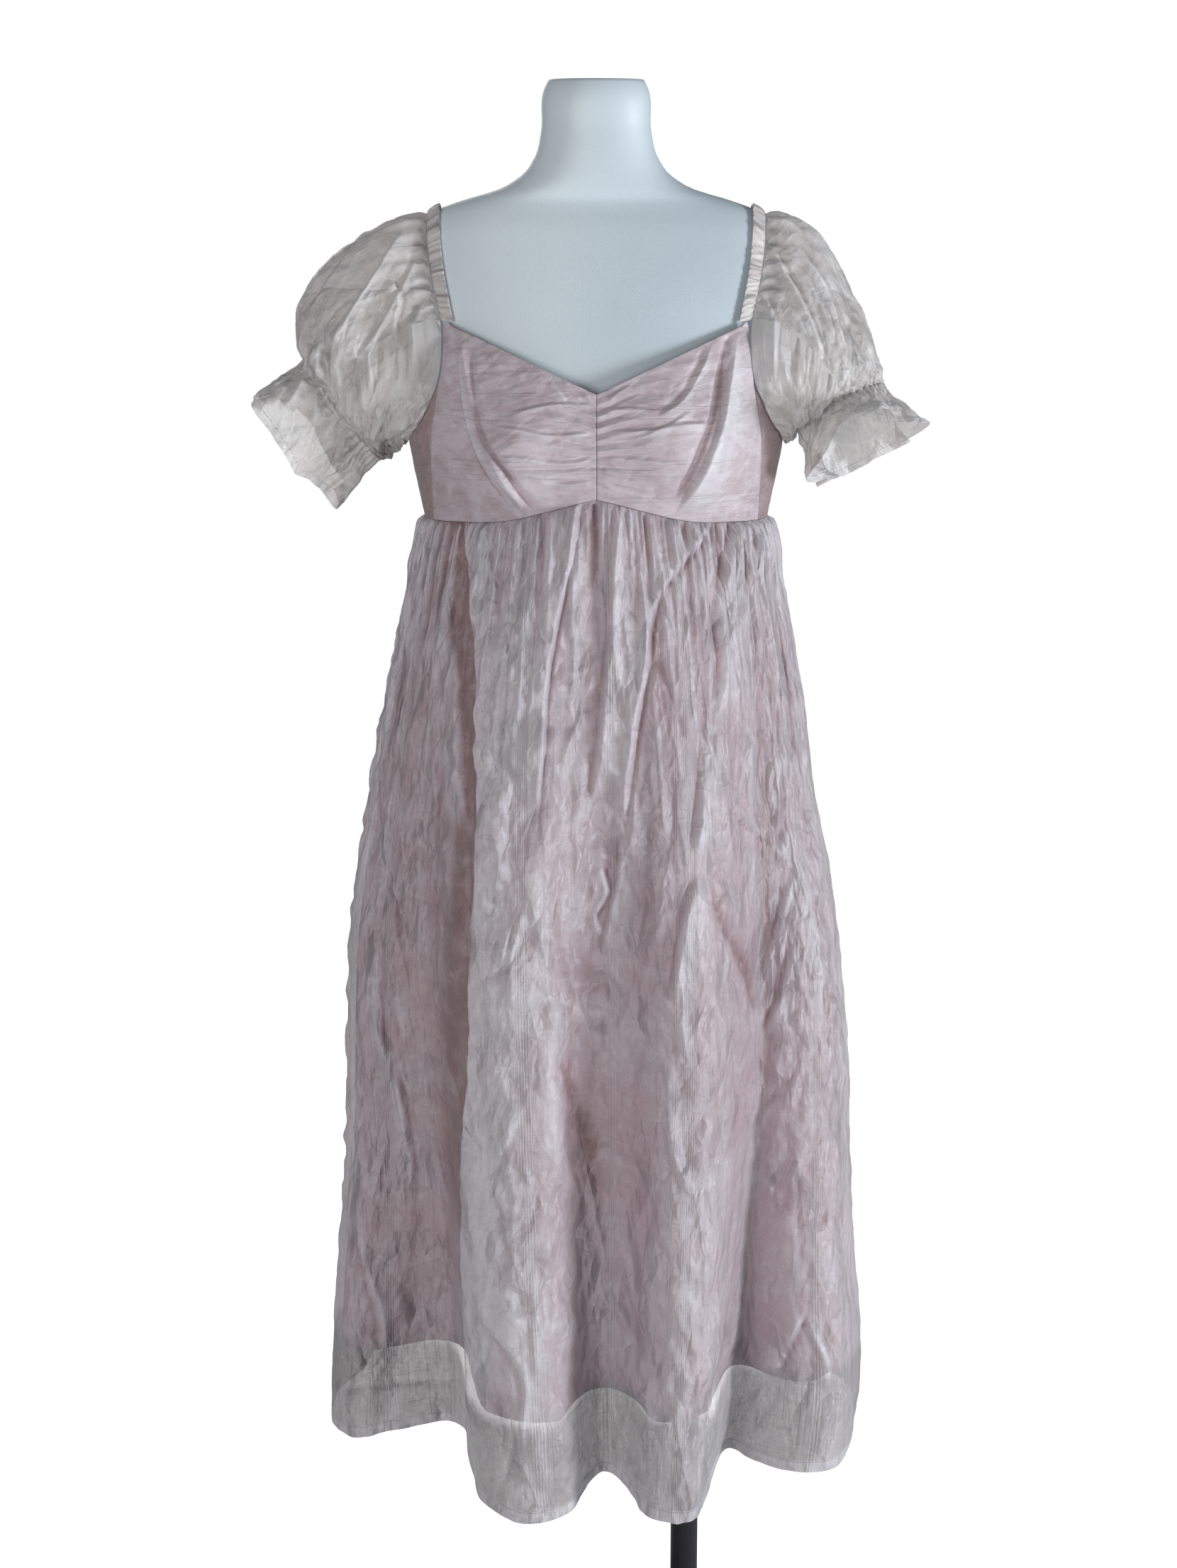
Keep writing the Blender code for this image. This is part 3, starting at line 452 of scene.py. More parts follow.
def organza(name, tints, drawn=1.0, hem=True):
    # drawn is how much wider the gathered cloth would be when flat
    look = Look(name, Roughness=0.46, Specular_IOR_Level=0.45, Sheen_Weight=0.20, Sheen_Roughness=0.35)
    cloth = organzaCloth
    cut = look.cut()
    across = look.parts(cut)[0]
    # lift carries the painted highlight and painted shade of the folds, and the doubled cloth's opacity
    lift = look.value("lift")
    pale, thread = tints["pale"], tints["thread"]

    def drawnIn(key):
        *lean, wide, long = cloth[key]
        return (*lean, wide * drawn, long)

    slubs = slubLines(look, *cloth["uprightSlubs"]) + slubLines(look, *cloth["levelSlubs"]) * 0.5
    washes = look.noise(look.scaled(cut, *drawnIn("washes")), detail=3.0, rough=0.62, swirl=0.8)
    mottle = look.noise(look.scaled(cut, *drawnIn("mottle")), detail=3.0, rough=0.65, swirl=0.5)
    calm = look.noise(look.scaled(cut, *drawnIn("calm")), detail=1.0).between(0.32, 0.60) * 0.8 + 0.2
    large, largeFacetLight = look.tilted(*drawnIn("largeFacets"))
    middle, middleFacetLight = look.tilted(*drawnIn("middleFacets"))
    small = look.creases(*drawnIn("smallCreases"))
    long, longer = (look.creases(lean, wide * drawn, down) for lean, wide, down in cloth["longCreases"])
    threads = look.weave(*cloth["threads"])

    # painted highlight and painted shade: lifted cloth is painted pale, and the hollows between the folds are
    # painted a deep, darker pink
    colour = look.blend(washes.between(0.34, 0.66), tints["pink"], tints["mauve"])
    colour = look.blend(lift.between(0.0, 0.26), tints.get("deep", tints["pink"]), colour)
    colour = look.blend((lift * 1.2 - 0.24).clipped(0, 1), colour, pale)
    colour = look.blend(mottle.between(0.45, 0.72) * 0.20, colour, pale)
    # painted highlight: some facets are painted lighter, as if each were turned to the light
    paintedFacetLight = largeFacetLight.between(0.45, 1.0) * 0.22 + middleFacetLight.between(0.5, 1.0) * 0.16
    colour = look.blend(paintedFacetLight * calm, colour, pale)
    solid = lift * 0.30 + tints["opaque"] + slubs * 0.20 + (threads - 1.0) * 0.12
    largeDepth, middleDepth, smallDepth, longDepth = tints["depths"]
    height = (large * largeDepth + middle * middleDepth) * calm
    height = height - small * smallDepth - (long + longer) * longDepth + threads * 0.10 + slubs * 0.22
    height = height + look.noise(look.scaled(cut, *cloth["grain"]), detail=2.0, rough=0.65) * 0.30
    if "unlinedShade" in tints:
        # greyer where no lining hangs behind, and darker there too: painted shade of the dim skirt inside
        # seen through the cloth
        unlinedShade = 1 - look.value("backed")
        colour = look.blend(unlinedShade * 0.80, colour, tints["unlinedShade"])
        solid = solid + unlinedShade * 0.20
    for spot, reach in tints.get("stripes", ()):
        inside = 1 - (across - spot).away().between(reach - 0.001, reach)
        ribs = across.zigzag(cloth["ribPitch"]).between(*cloth["ribEdges"]) * inside * 0.8
        colour = look.blend(ribs * 0.40, colour, pale)
        colour = look.blend((inside - ribs) * 0.18, colour, thread)
        height = height + ribs * 0.35
    colour = look.blend(slubs * 0.38, colour, thread)
    if hem:
        hemward = look.value("hemward")
        band = 1 - hemward.between(tints["hemWidth"] - 0.0006, tints["hemWidth"] + 0.0006)
        stitch = 1 - (hemward - tints["hemWidth"] + cloth["stitchInset"]).away().between(0.0002, 0.0006)
        stitch = stitch * across.zigzag(cloth["stitchPitch"]).between(*cloth["stitchEdges"])
        colour = look.blend(band * 0.40, colour, pale)
        colour = look.blend(stitch * 0.5, colour, thread)
        solid = solid + band * 0.05
        height = height + band * 0.5 - stitch * 0.4
    look.set("Base Color", colour)
    look.set("Alpha", solid.clipped(0.0, 1.0))
    look.set("Roughness", (mottle * 0.16 + 0.36).clipped(0, 1))
    look.set("Normal", look.bumps(height, 0.001))
    return look


bodiceTints = {
    # deep is painted shade for the hollows between the folds
    "deep": (0.300, 0.225, 0.240),
    "rose": (0.485, 0.395, 0.425),
    "mauve": (0.565, 0.495, 0.535),
    "pale": (0.715, 0.705, 0.745),
    "thread": (0.34, 0.28, 0.31),
}
bodiceWeave = {
    # width and length of a thread and of a group of them, and their density
    "slubs": (0.075, 0.0011, 0.20, 0.016, 0.58),
    "paleThreads": (0.060, 0.0013, 0.16, 0.022, 0.60),
    "threads": (0.010, 0.0009, 0.0008),
    # sizes across and down the flat cut, in metres
    "washes": (0.032, 0.026),
    "streaks": (0.045, 0.009),
    "blotches": (0.012, 0.009),
    "grain": (0.006, 0.0026),
    # degrees that they lean, then sizes
    "levelCreases": (84, 0.013, 0.065),
    "buckles": (68, 0.014, 0.030),
}


def bodiceCloth(name, tints):
    look = Look(name, Roughness=0.50, Specular_IOR_Level=0.40, Sheen_Weight=0.25, Sheen_Roughness=0.40)
    weave = bodiceWeave
    cut = look.cut()
    slubs = slubLines(look, *weave["slubs"])
    paleThreads = slubLines(look, *weave["paleThreads"])
    washes = look.noise(look.scaled(cut, *weave["washes"]), detail=4.0, rough=0.62, swirl=1.2)
    streaks = look.noise(look.scaled(cut, *weave["streaks"]), detail=3.0, rough=0.6, swirl=0.6)
    blotches = look.noise(look.scaled(cut, *weave["blotches"]), detail=3.0, rough=0.6)
    grain = look.noise(look.scaled(cut, *weave["grain"]), detail=3.0, rough=0.6)
    threads = look.weave(*weave["threads"])
    lift = look.value("lift")
    level = look.creases(*weave["levelCreases"])
    buckles = look.buckles(*weave["buckles"])
    colour = look.blend(washes.between(0.38, 0.62), tints["rose"], tints["mauve"])
    colour = look.blend(streaks.between(0.42, 0.66) * 0.4, colour, tints["mauve"])
    colour = look.blend(blotches.between(0.45, 0.75) * 0.28, colour, tints["pale"])
    # painted shade in the hollows and painted highlight on lifted cloth, from lift
    colour = look.blend(lift.between(0.0, 0.24), tints["deep"], colour)
    colour = look.blend((lift * 1.4 - 0.40).clipped(0, 1) * 0.85, colour, tints["pale"])
    # painted highlight along the crease ridges, together with the cloth's real paler threads
    colour = look.blend((1 - level.between(0.0, 0.05)) * 0.10 + paleThreads * 0.26, colour, tints["pale"])
    colour = look.blend(slubs * 0.34, colour, tints["thread"])
    height = grain * 0.22 + (slubs + paleThreads) * 0.22 + threads * 0.10 - level * 2.2 - buckles * 1.5
    look.set("Base Color", colour)
    look.set("Roughness", (blotches * 0.18 + 0.38).clipped(0, 1))
    look.set("Normal", look.bumps(height, 0.001))
    return look


liningTints = {
    "rose": (0.50, 0.345, 0.385),
    "pale": (0.56, 0.42, 0.46),
    "thread": (0.30, 0.20, 0.22),
    "hemWidth": 0.016,
    "washes": (0.09, 0.14),
    "threads": (0.008, 0.0008, 0.0008),
}


def liningCloth(name, tints):
    look = Look(name, Roughness=0.62, Specular_IOR_Level=0.30, Sheen_Weight=0.15)
    cut = look.cut()
    washes = look.noise(look.scaled(cut, *tints["washes"]), detail=3.0, rough=0.6, swirl=0.4)
    threads = look.weave(*tints["threads"])
    stitch = 1 - (look.value("hemward") - tints["hemWidth"]).away().between(0.0003, 0.0008)
    colour = look.blend(washes.between(0.35, 0.65), tints["rose"], tints["pale"])
    colour = look.blend(stitch * 0.4, colour, tints["thread"])
    look.set("Base Color", colour)
    look.set("Roughness", (washes * 0.12 + 0.54).clipped(0, 1))
    look.set("Normal", look.bumps(washes * 0.5 + threads * 0.2 - stitch * 0.5, 0.0008))
    return look


formTints = {
    "shell": (0.77, 0.86, 0.92),
    "paintedShade": (0.52, 0.605, 0.66),
    # painted shade: where the coat is painted darker, from right to left in metres
    "shadeRamp": (-0.14, 0.16),
    "blotch": 0.12,
    "grain": 0.0011,
}


def formShellLook(name, tints):
    look = Look(name, Roughness=0.46, Specular_IOR_Level=0.45)
    place = look.place()
    broad = look.noise(look.scaled(place, *(tints["blotch"],) * 3), detail=2.0)
    grain = look.noise(look.scaled(place, *(tints["grain"],) * 3), detail=1.0)
    # painted shade towards the wearer's left, with a little random blotching
    shadeAndBlotch = look.parts(place)[0].between(*tints["shadeRamp"]) * 0.85 + broad.between(0.3, 0.7) * 0.15
    look.set("Base Color", look.blend(shadeAndBlotch, tints["shell"], tints["paintedShade"]))
    look.set("Roughness", (broad * 0.10 + grain * 0.08 + 0.38).clipped(0, 1))
    look.set("Normal", look.bumps(grain * 0.5 + broad * 0.6, 0.00035))
    return look


standTints = {"coat": (0.014, 0.014, 0.016), "worn": (0.055, 0.055, 0.06)}


def blackCoat(name, tints):
    look = Look(name, Roughness=0.42, Specular_IOR_Level=0.45)
    place = look.place()
    peel = look.noise(look.scaled(place, 0.0016, 0.0016, 0.0016), detail=2.0)
    scuffs = look.noise(look.scaled(place, 0.03, 0.03, 0.004), detail=4.0, rough=0.7)
    look.set("Base Color", look.blend(scuffs.between(0.60, 0.74) * 0.6, tints["coat"], tints["worn"]))
    look.set("Roughness", (scuffs * 0.22 + 0.30).clipped(0, 1))
    look.set("Normal", look.bumps(peel, 0.0003))
    return look


# dress form

dressForm = {
    # height, half width, front depth, back depth
    "levels": (
        (0.860, 0.150, 0.090, 0.096), (0.875, 0.162, 0.099, 0.108), (0.910, 0.171, 0.106, 0.118),
        (0.960, 0.173, 0.108, 0.122), (1.020, 0.167, 0.105, 0.117), (1.080, 0.155, 0.099, 0.104),
        (1.140, 0.141, 0.092, 0.089), (1.200, 0.133, 0.089, 0.081), (1.260, 0.141, 0.096, 0.083),
        (1.310, 0.152, 0.108, 0.089), (1.360, 0.161, 0.116, 0.096), (1.410, 0.169, 0.109, 0.101),
        (1.460, 0.176, 0.094, 0.099), (1.510, 0.180, 0.076, 0.090), (1.550, 0.178, 0.060, 0.077),
        (1.575, 0.168, 0.049, 0.064), (1.588, 0.152, 0.042, 0.056), (1.597, 0.127, 0.039, 0.052),
        (1.606, 0.096, 0.041, 0.053), (1.618, 0.074, 0.042, 0.054), (1.635, 0.060, 0.042, 0.054),
        (1.660, 0.053, 0.041, 0.053), (1.699, 0.050, 0.040, 0.052), (1.708, 0.046, 0.036, 0.048),
    ),
    "ovalPower": 2.25,
    "bust": (0.077, 1.368, 0.042, 0.046),  # centre x and z, reach in x and z
    "bustSwell": 0.013,
    "capShare": 0.06,
    "capMiddle": (0, 0.004),
    "columns": 168,
    "rows": 236,
}


def oval(angle, halfWidth, front, back):
    # 0 is the centre front and 90 the wearer's left side
    sine, cosine = np.sin(np.radians(angle)), np.cos(np.radians(angle))
    power = 2 / dressForm["ovalPower"]
    x = halfWidth * np.sign(sine) * np.abs(sine) ** power
    y = -np.where(cosine > 0, front, back) * np.sign(cosine) * np.abs(cosine) ** power
    return x, y


def bustSwell(x, height, amount):
    bustX, bustZ, reachX, reachZ = dressForm["bust"]
    return amount * np.exp(-(((np.abs(x) - bustX) / reachX) ** 2) - ((height - bustZ) / reachZ) ** 2)


def formPoint(angle, height):
    x, y = oval(angle, *(fromTable(dressForm["levels"], k, height) for k in (1, 2, 3)))
    y = y - np.where(np.cos(np.radians(angle)) > 0, bustSwell(x, height, dressForm["bustSwell"]), 0)
    return np.stack(np.broadcast_arrays(x, y, height), axis=-1)


def insideForm(x, y, height):
    top = dressForm["levels"][-1][0]
    halfWidth, front, back = (fromTable(dressForm["levels"], k, height) for k in (1, 2, 3))
    depth = np.where(y < 0, front, back)
    y = np.where(y < 0, y + bustSwell(x, height, dressForm["bustSwell"]), y)
    power = dressForm["ovalPower"]
    return (height < top) & ((np.abs(x) / halfWidth) ** power + (np.abs(y) / depth) ** power < 1)


def formShape(u, v):
    # the two ends of v close the underside and the neck cap
    cap = dressForm["capShare"]
    bottom, top = dressForm["levels"][0][0], dressForm["levels"][-1][0]
    height = bottom + (top - bottom) * np.clip((v - cap) / (1 - 2 * cap), 0, 1)
    place = formPoint(360 * u - 180, height)
    shrink = np.clip(v / cap, 0, 1) * np.clip((1 - v) / cap, 0, 1)
    middle = np.array(dressForm["capMiddle"])
    place[..., :2] = middle + (place[..., :2] - middle) * shrink[..., None]
    return {"place": place, "cut": np.stack((u, v), axis=-1)}


formPiece = layOut("dressForm", dressForm["columns"], dressForm["rows"], formShape, wrapped=True)
shape = bmesh.new()
shape.from_mesh(formPiece.data)
bmesh.ops.dissolve_degenerate(shape, dist=1e-6, edges=shape.edges)
bmesh.ops.recalc_face_normals(shape, faces=shape.faces)
shape.to_mesh(formPiece.data)
shape.free()
dress(formPiece, formShellLook("smooth white shell", formTints), ["form_torso"])
print("dress form done")


# stand

stand = {
    "poleX": 0.096, "poleRadius": 0.0145, "fit": 0.0003, "gap": 0.0003,
    "baseRadius": 0.170, "baseThickness": 0.008,
    "hubRadius": 0.027, "hubHeight": 0.034, "hubWall": 0.008, "hubTaper": 0.006, "hubRound": 0.002,
    "socketRadius": 0.034, "socketPlate": 0.006, "collarRadius": 0.021, "socketDepth": 0.045,
    "steps": 96, "edge": 0.0008, "baseEdge": 0.0018,
}


def turnOnPole(name, profile, x, soften):
    # a profile of radius and height pairs, spun about the upright axis and then softened at its edges
    turned = bmesh.new()
    spots = [turned.verts.new((radius, 0, height)) for radius, height in profile]
    edges = [turned.edges.new(pair) for pair in zip(spots, spots[1:])]
    bmesh.ops.spin(
        turned, geom=spots + edges, cent=(0, 0, 0), axis=(0, 0, 1), angle=math.tau,
        steps=stand["steps"], use_merge=True,
    )
    bmesh.ops.remove_doubles(turned, verts=turned.verts, dist=1e-5)
    bmesh.ops.recalc_face_normals(turned, faces=turned.faces)
    corners = [edge for edge in turned.edges if len(edge.link_faces) == 2 and edge.calc_face_angle(0) > 0.5]
    bmesh.ops.bevel(
        turned, geom=corners, offset=soften, segments=3, profile=0.5, affect="EDGES", material=-1,
        clamp_overlap=True,
    )
    bmesh.ops.translate(turned, verts=turned.verts, vec=(x, 0, 0))
    bmesh.ops.recalc_face_normals(turned, faces=turned.faces)
    return finishMesh(name, turned)


metal = blackCoat("black powder coat", standTints)
thick, poleX = stand["baseThickness"], stand["poleX"]
hubBottom = thick + stand["gap"]
hubTop = hubBottom + stand["hubHeight"]
bore = stand["poleRadius"] + stand["fit"]
socketTop = dressForm["levels"][0][0] - stand["gap"]
poleTop = socketTop - stand["socketPlate"] - stand["gap"]
radius = stand["baseRadius"]
hubRadius, socketRadius, collarRadius = stand["hubRadius"], stand["socketRadius"], stand["collarRadius"]
plateBottom = socketTop - stand["socketPlate"]
collarBottom = socketTop - stand["socketDepth"]
roof = poleTop + stand["gap"]
edge = stand["edge"]
basePiece = turnOnPole("standBase", ((0, 0), (radius, 0), (radius, thick), (0, thick)), 0, stand["baseEdge"])
tapered = hubRadius - stand["hubTaper"]
hubProfile = (
    (bore, hubBottom), (hubRadius, hubBottom), (hubRadius, hubBottom + stand["hubWall"]),
    (tapered, hubTop - stand["hubRound"]), (tapered - stand["hubRound"], hubTop), (bore, hubTop),
    (bore, hubBottom),
)
hubPiece = turnOnPole("standHub", hubProfile, poleX, edge)
poleProfile = ((0, hubBottom), (stand["poleRadius"], hubBottom), (stand["poleRadius"], poleTop), (0, poleTop))
polePiece = turnOnPole("standPole", poleProfile, poleX, edge)
socketProfile = (
    (0, roof), (bore, roof), (bore, collarBottom), (collarRadius, collarBottom), (collarRadius, plateBottom),
    (socketRadius, plateBottom), (socketRadius, socketTop), (0, socketTop),
)
socketPiece = turnOnPole("standSocket", socketProfile, poleX, edge)
for piece, node in ((basePiece, "base"), (hubPiece, "hub"), (polePiece, "pole"), (socketPiece, "socket")):
    dress(piece, metal, ["stand_" + node])
print("stand done")


# bodice

bodice = {
    # height, half width, front depth, back depth of the cloth's outer face
    "levels": (
        (1.285, 0.167, 0.121, 0.100), (1.320, 0.174, 0.129, 0.103), (1.350, 0.180, 0.133, 0.106),
        (1.380, 0.184, 0.132, 0.109), (1.410, 0.183, 0.125, 0.111), (1.440, 0.182, 0.114, 0.111),
        (1.480, 0.186, 0.097, 0.107), (1.520, 0.190, 0.084, 0.100),
    ),
    "cupSwell": 0.015,
    # angle and height of the empire seam
    "seam": ((0, 1.3215), (12, 1.3105), (27, 1.3000), (50, 1.2960), (90, 1.2940), (180, 1.2960)),
    "neckPoint": 1.4190,
    "cornerAngle": 45.0,
    "backCornerAngle": 136.0,
    "backNeck": 1.478,
    "strapAngle": 49.0,
    "backStrapAngle": 131.5,
    "armhole": (
        (45.0, 1.4800), (49.0, 1.4780), (51, 1.4500), (59, 1.4060), (74, 1.3780), (90, 1.3690),
        (106, 1.3800), (120, 1.4120), (128, 1.4500), (131.5, 1.4860), (136.0, 1.4880),
    ),
    "sideSeamLow": 67.0,
    "sideSeamHigh": 53.0,
    "backSeam": 98.0,
    # share of the height up the centre seam, depth and reach of each gather
    "ruches": (
        (0.08, 0.0022, 0.030), (0.18, 0.0038, 0.052), (0.28, 0.0044, 0.078), (0.38, 0.0038, 0.064),
        (0.48, 0.0050, 0.084), (0.58, 0.0044, 0.070), (0.68, 0.0050, 0.086), (0.78, 0.0042, 0.072),
        (0.89, 0.0026, 0.046),
    ),
    "ruchePitch": 0.10,
    # height, and the place across of the soft fold on the right and the left cup
    "cupFold": (
        (1.295, 0.058, 0.104), (1.325, 0.080, 0.110), (1.350, 0.096, 0.115), (1.385, 0.112, 0.121),
        (1.430, 0.124, 0.127), (1.485, 0.132, 0.133),
    ),
    "cupFoldDepth": (0.0095, 0.0030),
    "cupFoldWidth": 0.010,
    # size, lean and depth of the buckles, and their seed
    "levelBuckles": (0.012, 0.2, 0.0006, 31),
    "uprightBuckles": (0.022, 0.4, 0.0005, 37),
    "wall": 0.0011,
    "gap": 0.0001,
    "sideGap": 0.00008,
    # height, reach left, reach right, and the line's spots in the photograph
    "folds": (
        (4.6, 7.0, 4.0, 656, 474, 650, 508, 655, 560, 662, 600, 674, 633, 696, 667, 722, 700, 742, 727),
        (-3.0, 2.2, 1.5, 646, 508, 650, 560, 656, 590, 667, 633, 688, 674, 708, 700, 727, 727),
        (-2.6, 1.5, 2.0, 661, 560, 680, 629, 704, 660, 736, 705, 757, 726),
        (6.5, 4.0, 18.0, 1043, 461, 1036, 490, 1025, 553, 1019, 591, 1009, 622, 997, 654, 979, 688,
         952, 728),
        (-4.5, 6.0, 1.5, 1034, 490, 1022, 553, 1016, 591, 1006, 622, 993, 654, 975, 688, 948, 728),
        (2.6, 3.0, 6.0, 1006, 482, 988, 525, 962, 567, 925, 592),
        (2.3, 1.6, 4.0, 847, 575, 804, 571, 738, 581, 711, 592),
        (2.0, 1.6, 4.0, 845, 609, 783, 616, 721, 606, 693, 602),
        (1.6, 1.6, 3.0, 847, 619, 804, 623),
        (2.3, 1.6, 4.0, 845, 643, 811, 654, 728, 647, 690, 647),
        (2.0, 1.6, 3.5, 845, 654, 804, 666, 728, 668),
        (1.8, 1.6, 3.0, 845, 674, 790, 674, 742, 671),
        (1.8, 1.6, 3.0, 845, 681, 814, 683, 752, 681),
        (2.3, 4.0, 1.6, 849, 581, 900, 578, 921, 581),
        (2.2, 4.0, 1.6, 849, 609, 911, 609, 938, 606, 962, 600, 1011, 599),
        (2.0, 4.0, 1.6, 850, 624, 900, 619, 942, 602, 980, 578),
        (2.0, 4.0, 1.6, 852, 643, 900, 650, 956, 654),
        (1.6, 3.0, 1.6, 849, 661, 876, 669),
        (1.9, 4.0, 1.6, 849, 685, 887, 695, 921, 702),
        (1.5, 1.6, 2.5, 838, 571, 822, 552, 811, 543),
        (1.5, 1.6, 2.5, 822, 566, 800, 545, 792, 533),
        (1.4, 1.6, 2.5, 800, 570, 782, 548, 772, 536),
        (1.4, 2.5, 1.6, 858, 566, 876, 552, 893, 543),
        (1.2, 2.5, 1.6, 856, 580, 884, 566, 905, 558),
    ),
}


def cupLine(height, side):
    return fromTable(bodice["cupFold"], 1 if side < 0 else 2, height)


def cupFold(x, height, side):
    depth = bodice["cupFoldDepth"][0 if side < 0 else 1]
    inward = (cupLine(height, side) - np.abs(x)) / bodice["cupFoldWidth"]
    return depth * eased(0.5 + inward * 1.2) * np.exp(-np.clip(inward, 0, None) / 2.2)


def ruching(x, share):
    depth = np.zeros(np.broadcast(x, share).shape)
    for middle, deep, reach in bodice["ruches"]:
        bend = 0.012 * np.sin(np.abs(x) * 60 + middle * 9)
        profile = np.clip(1 - np.abs(share - middle - bend) / (bodice["ruchePitch"] * 0.5), 0, 1)
        depth = depth + deep * profile**0.8 * np.clip(1.0 - np.abs(x) / reach, 0, 1)
    return depth


def seamHeight(angle):
    return fromTable(bodice["seam"], 1, np.abs(angle))


def bodiceEdge(angle):
    angle = np.abs(angle)
    corner = bodice["cornerAngle"]
    across = np.sin(np.radians(np.minimum(angle, corner))) / math.sin(math.radians(corner))
    top = bodice["armhole"][0][1]
    neckline = bodice["neckPoint"] + (top - bodice["neckPoint"]) * across ** (2 / dressForm["ovalPower"])
    armhole = fromTable(bodice["armhole"], 1, angle)
    past = (angle - bodice["backCornerAngle"]) / (180 - bodice["backCornerAngle"])
    last = bodice["armhole"][-1][1]
    back = last + (bodice["backNeck"] - last) * eased(past * 2)
    return np.where(angle < corner, neckline, np.where(angle > bodice["backCornerAngle"], back, armhole))


def bodicePoint(angle, height, share=None, across=0.0, side=1):
    x, y = oval(angle, *(fromTable(bodice["levels"], k, height) for k in (1, 2, 3)))
    swell = bustSwell(x, height, bodice["cupSwell"]) * (np.cos(np.radians(angle)) > 0)
    if share is not None:
        edges = eased(share * 6) * eased((1 - share) * 8) * eased((1 - across) * 8)
        swell = swell + cupFold(x, height, side) * edges + ruching(x, share)
    return np.stack(np.broadcast_arrays(x, y - swell, height), axis=-1)


def bodiceOutward(angle, height):
    across = bodicePoint(angle + 0.5, height) - bodicePoint(angle - 0.5, height)
    up = bodicePoint(angle, height + 0.001) - bodicePoint(angle, height - 0.001)
    return unitRows(np.cross(across, up))


def bodicePanel(name, side, low, high, columns, rows, folded=False):
    # a piece between two seams, whose angles are given at its lower and its upper edge
    def panelShape(u, v):
        angle = (low[0] + (low[1] - low[0]) * u) * (1 - v) + (high[0] + (high[1] - high[0]) * u) * v
        bottom = seamHeight(angle) + bodice["gap"]
        height = bottom + (bodiceEdge(angle) - bottom) * v
        place = bodicePoint(angle, height, v if folded else None, u, side)
        outward = bodiceOutward(angle, height)
        flip = np.array((side, 1, 1))
        place, outward = place * flip, outward * flip
        acrossCut, upCut = np.radians(angle) * 0.165 * side, height
        pressed = buckled(upCut, acrossCut, side, *bodice["levelBuckles"])
        pressed = pressed + buckled(acrossCut, upCut, side, *bodice["uprightBuckles"])
        if folded:
            pressed = pressed + pressFolds(place, bodice["folds"])
        rim = np.minimum(np.minimum(v, 1 - v) * 0.13, np.minimum(u, 1 - u) * 0.16)
        pressed = pressed * eased(rim / 0.006) - 0.0003 * (1 - eased(rim / 0.0012))
        # painted shade: the cloth beside the cup is painted a little deeper in colour
        beside = 0.13 * eased((np.abs(place[..., 0]) - cupLine(height, side)) / 0.012)
        # lift sets the painted highlight on raised cloth and the painted shade in hollows
        lift = np.clip(0.30 + pressed / 0.009 - beside, 0, 1)
        return {
            "place": place + outward * pressed[..., None],
            "cut": np.stack((acrossCut, upCut), axis=-1),
            "lift": lift,
        }

    piece = layOut(name, columns, rows, panelShape)
    thicken(piece, bodice["wall"])
    return piece


bodiceLook = bodiceCloth("dusty pink bodice cloth", bodiceTints)
# painted shade: the side panels get a darker copy of the bodice cloth, as cloth turned from the light
shadedSideTints = {
    **bodiceTints, "rose": (0.340, 0.240, 0.240), "mauve": (0.375, 0.280, 0.285), "pale": (0.48, 0.40, 0.40),
}
shadedSideLook = bodiceCloth("dusty pink side cloth in painted shade", shadedSideTints)
seamStep = math.degrees(bodice["sideGap"] / 0.16)
for label, side in (("Right", -1), ("Left", 1)):
    low, high, back = bodice["sideSeamLow"], bodice["sideSeamHigh"], bodice["backSeam"]
    # name, angles at the lower and the upper edge, columns and rows, look, flat width, length and area
    for part, lower, upper, grid, look, (width, length, area) in (
        ("Front", (0, low), (0, high), (230, 150), bodiceLook, (0.235, 0.205, 0.031)),
        ("Side", (low, back), (high, back), (70, 70), shadedSideLook, (0.110, 0.130, 0.0086)),
        ("Back", (back, 180), (back, 180), (130, 100), bodiceLook, (0.200, 0.200, 0.030)),
    ):
        lower, upper = ((first + seamStep, last - seamStep) for first, last in (lower, upper))
        piece = bodicePanel("bodice" + part + label, side, lower, upper, *grid, folded=part == "Front")
        dress(piece, look, [f"bodice_{part.lower()}_{label.lower()}"])
print("bodice done")


# skirt and lining

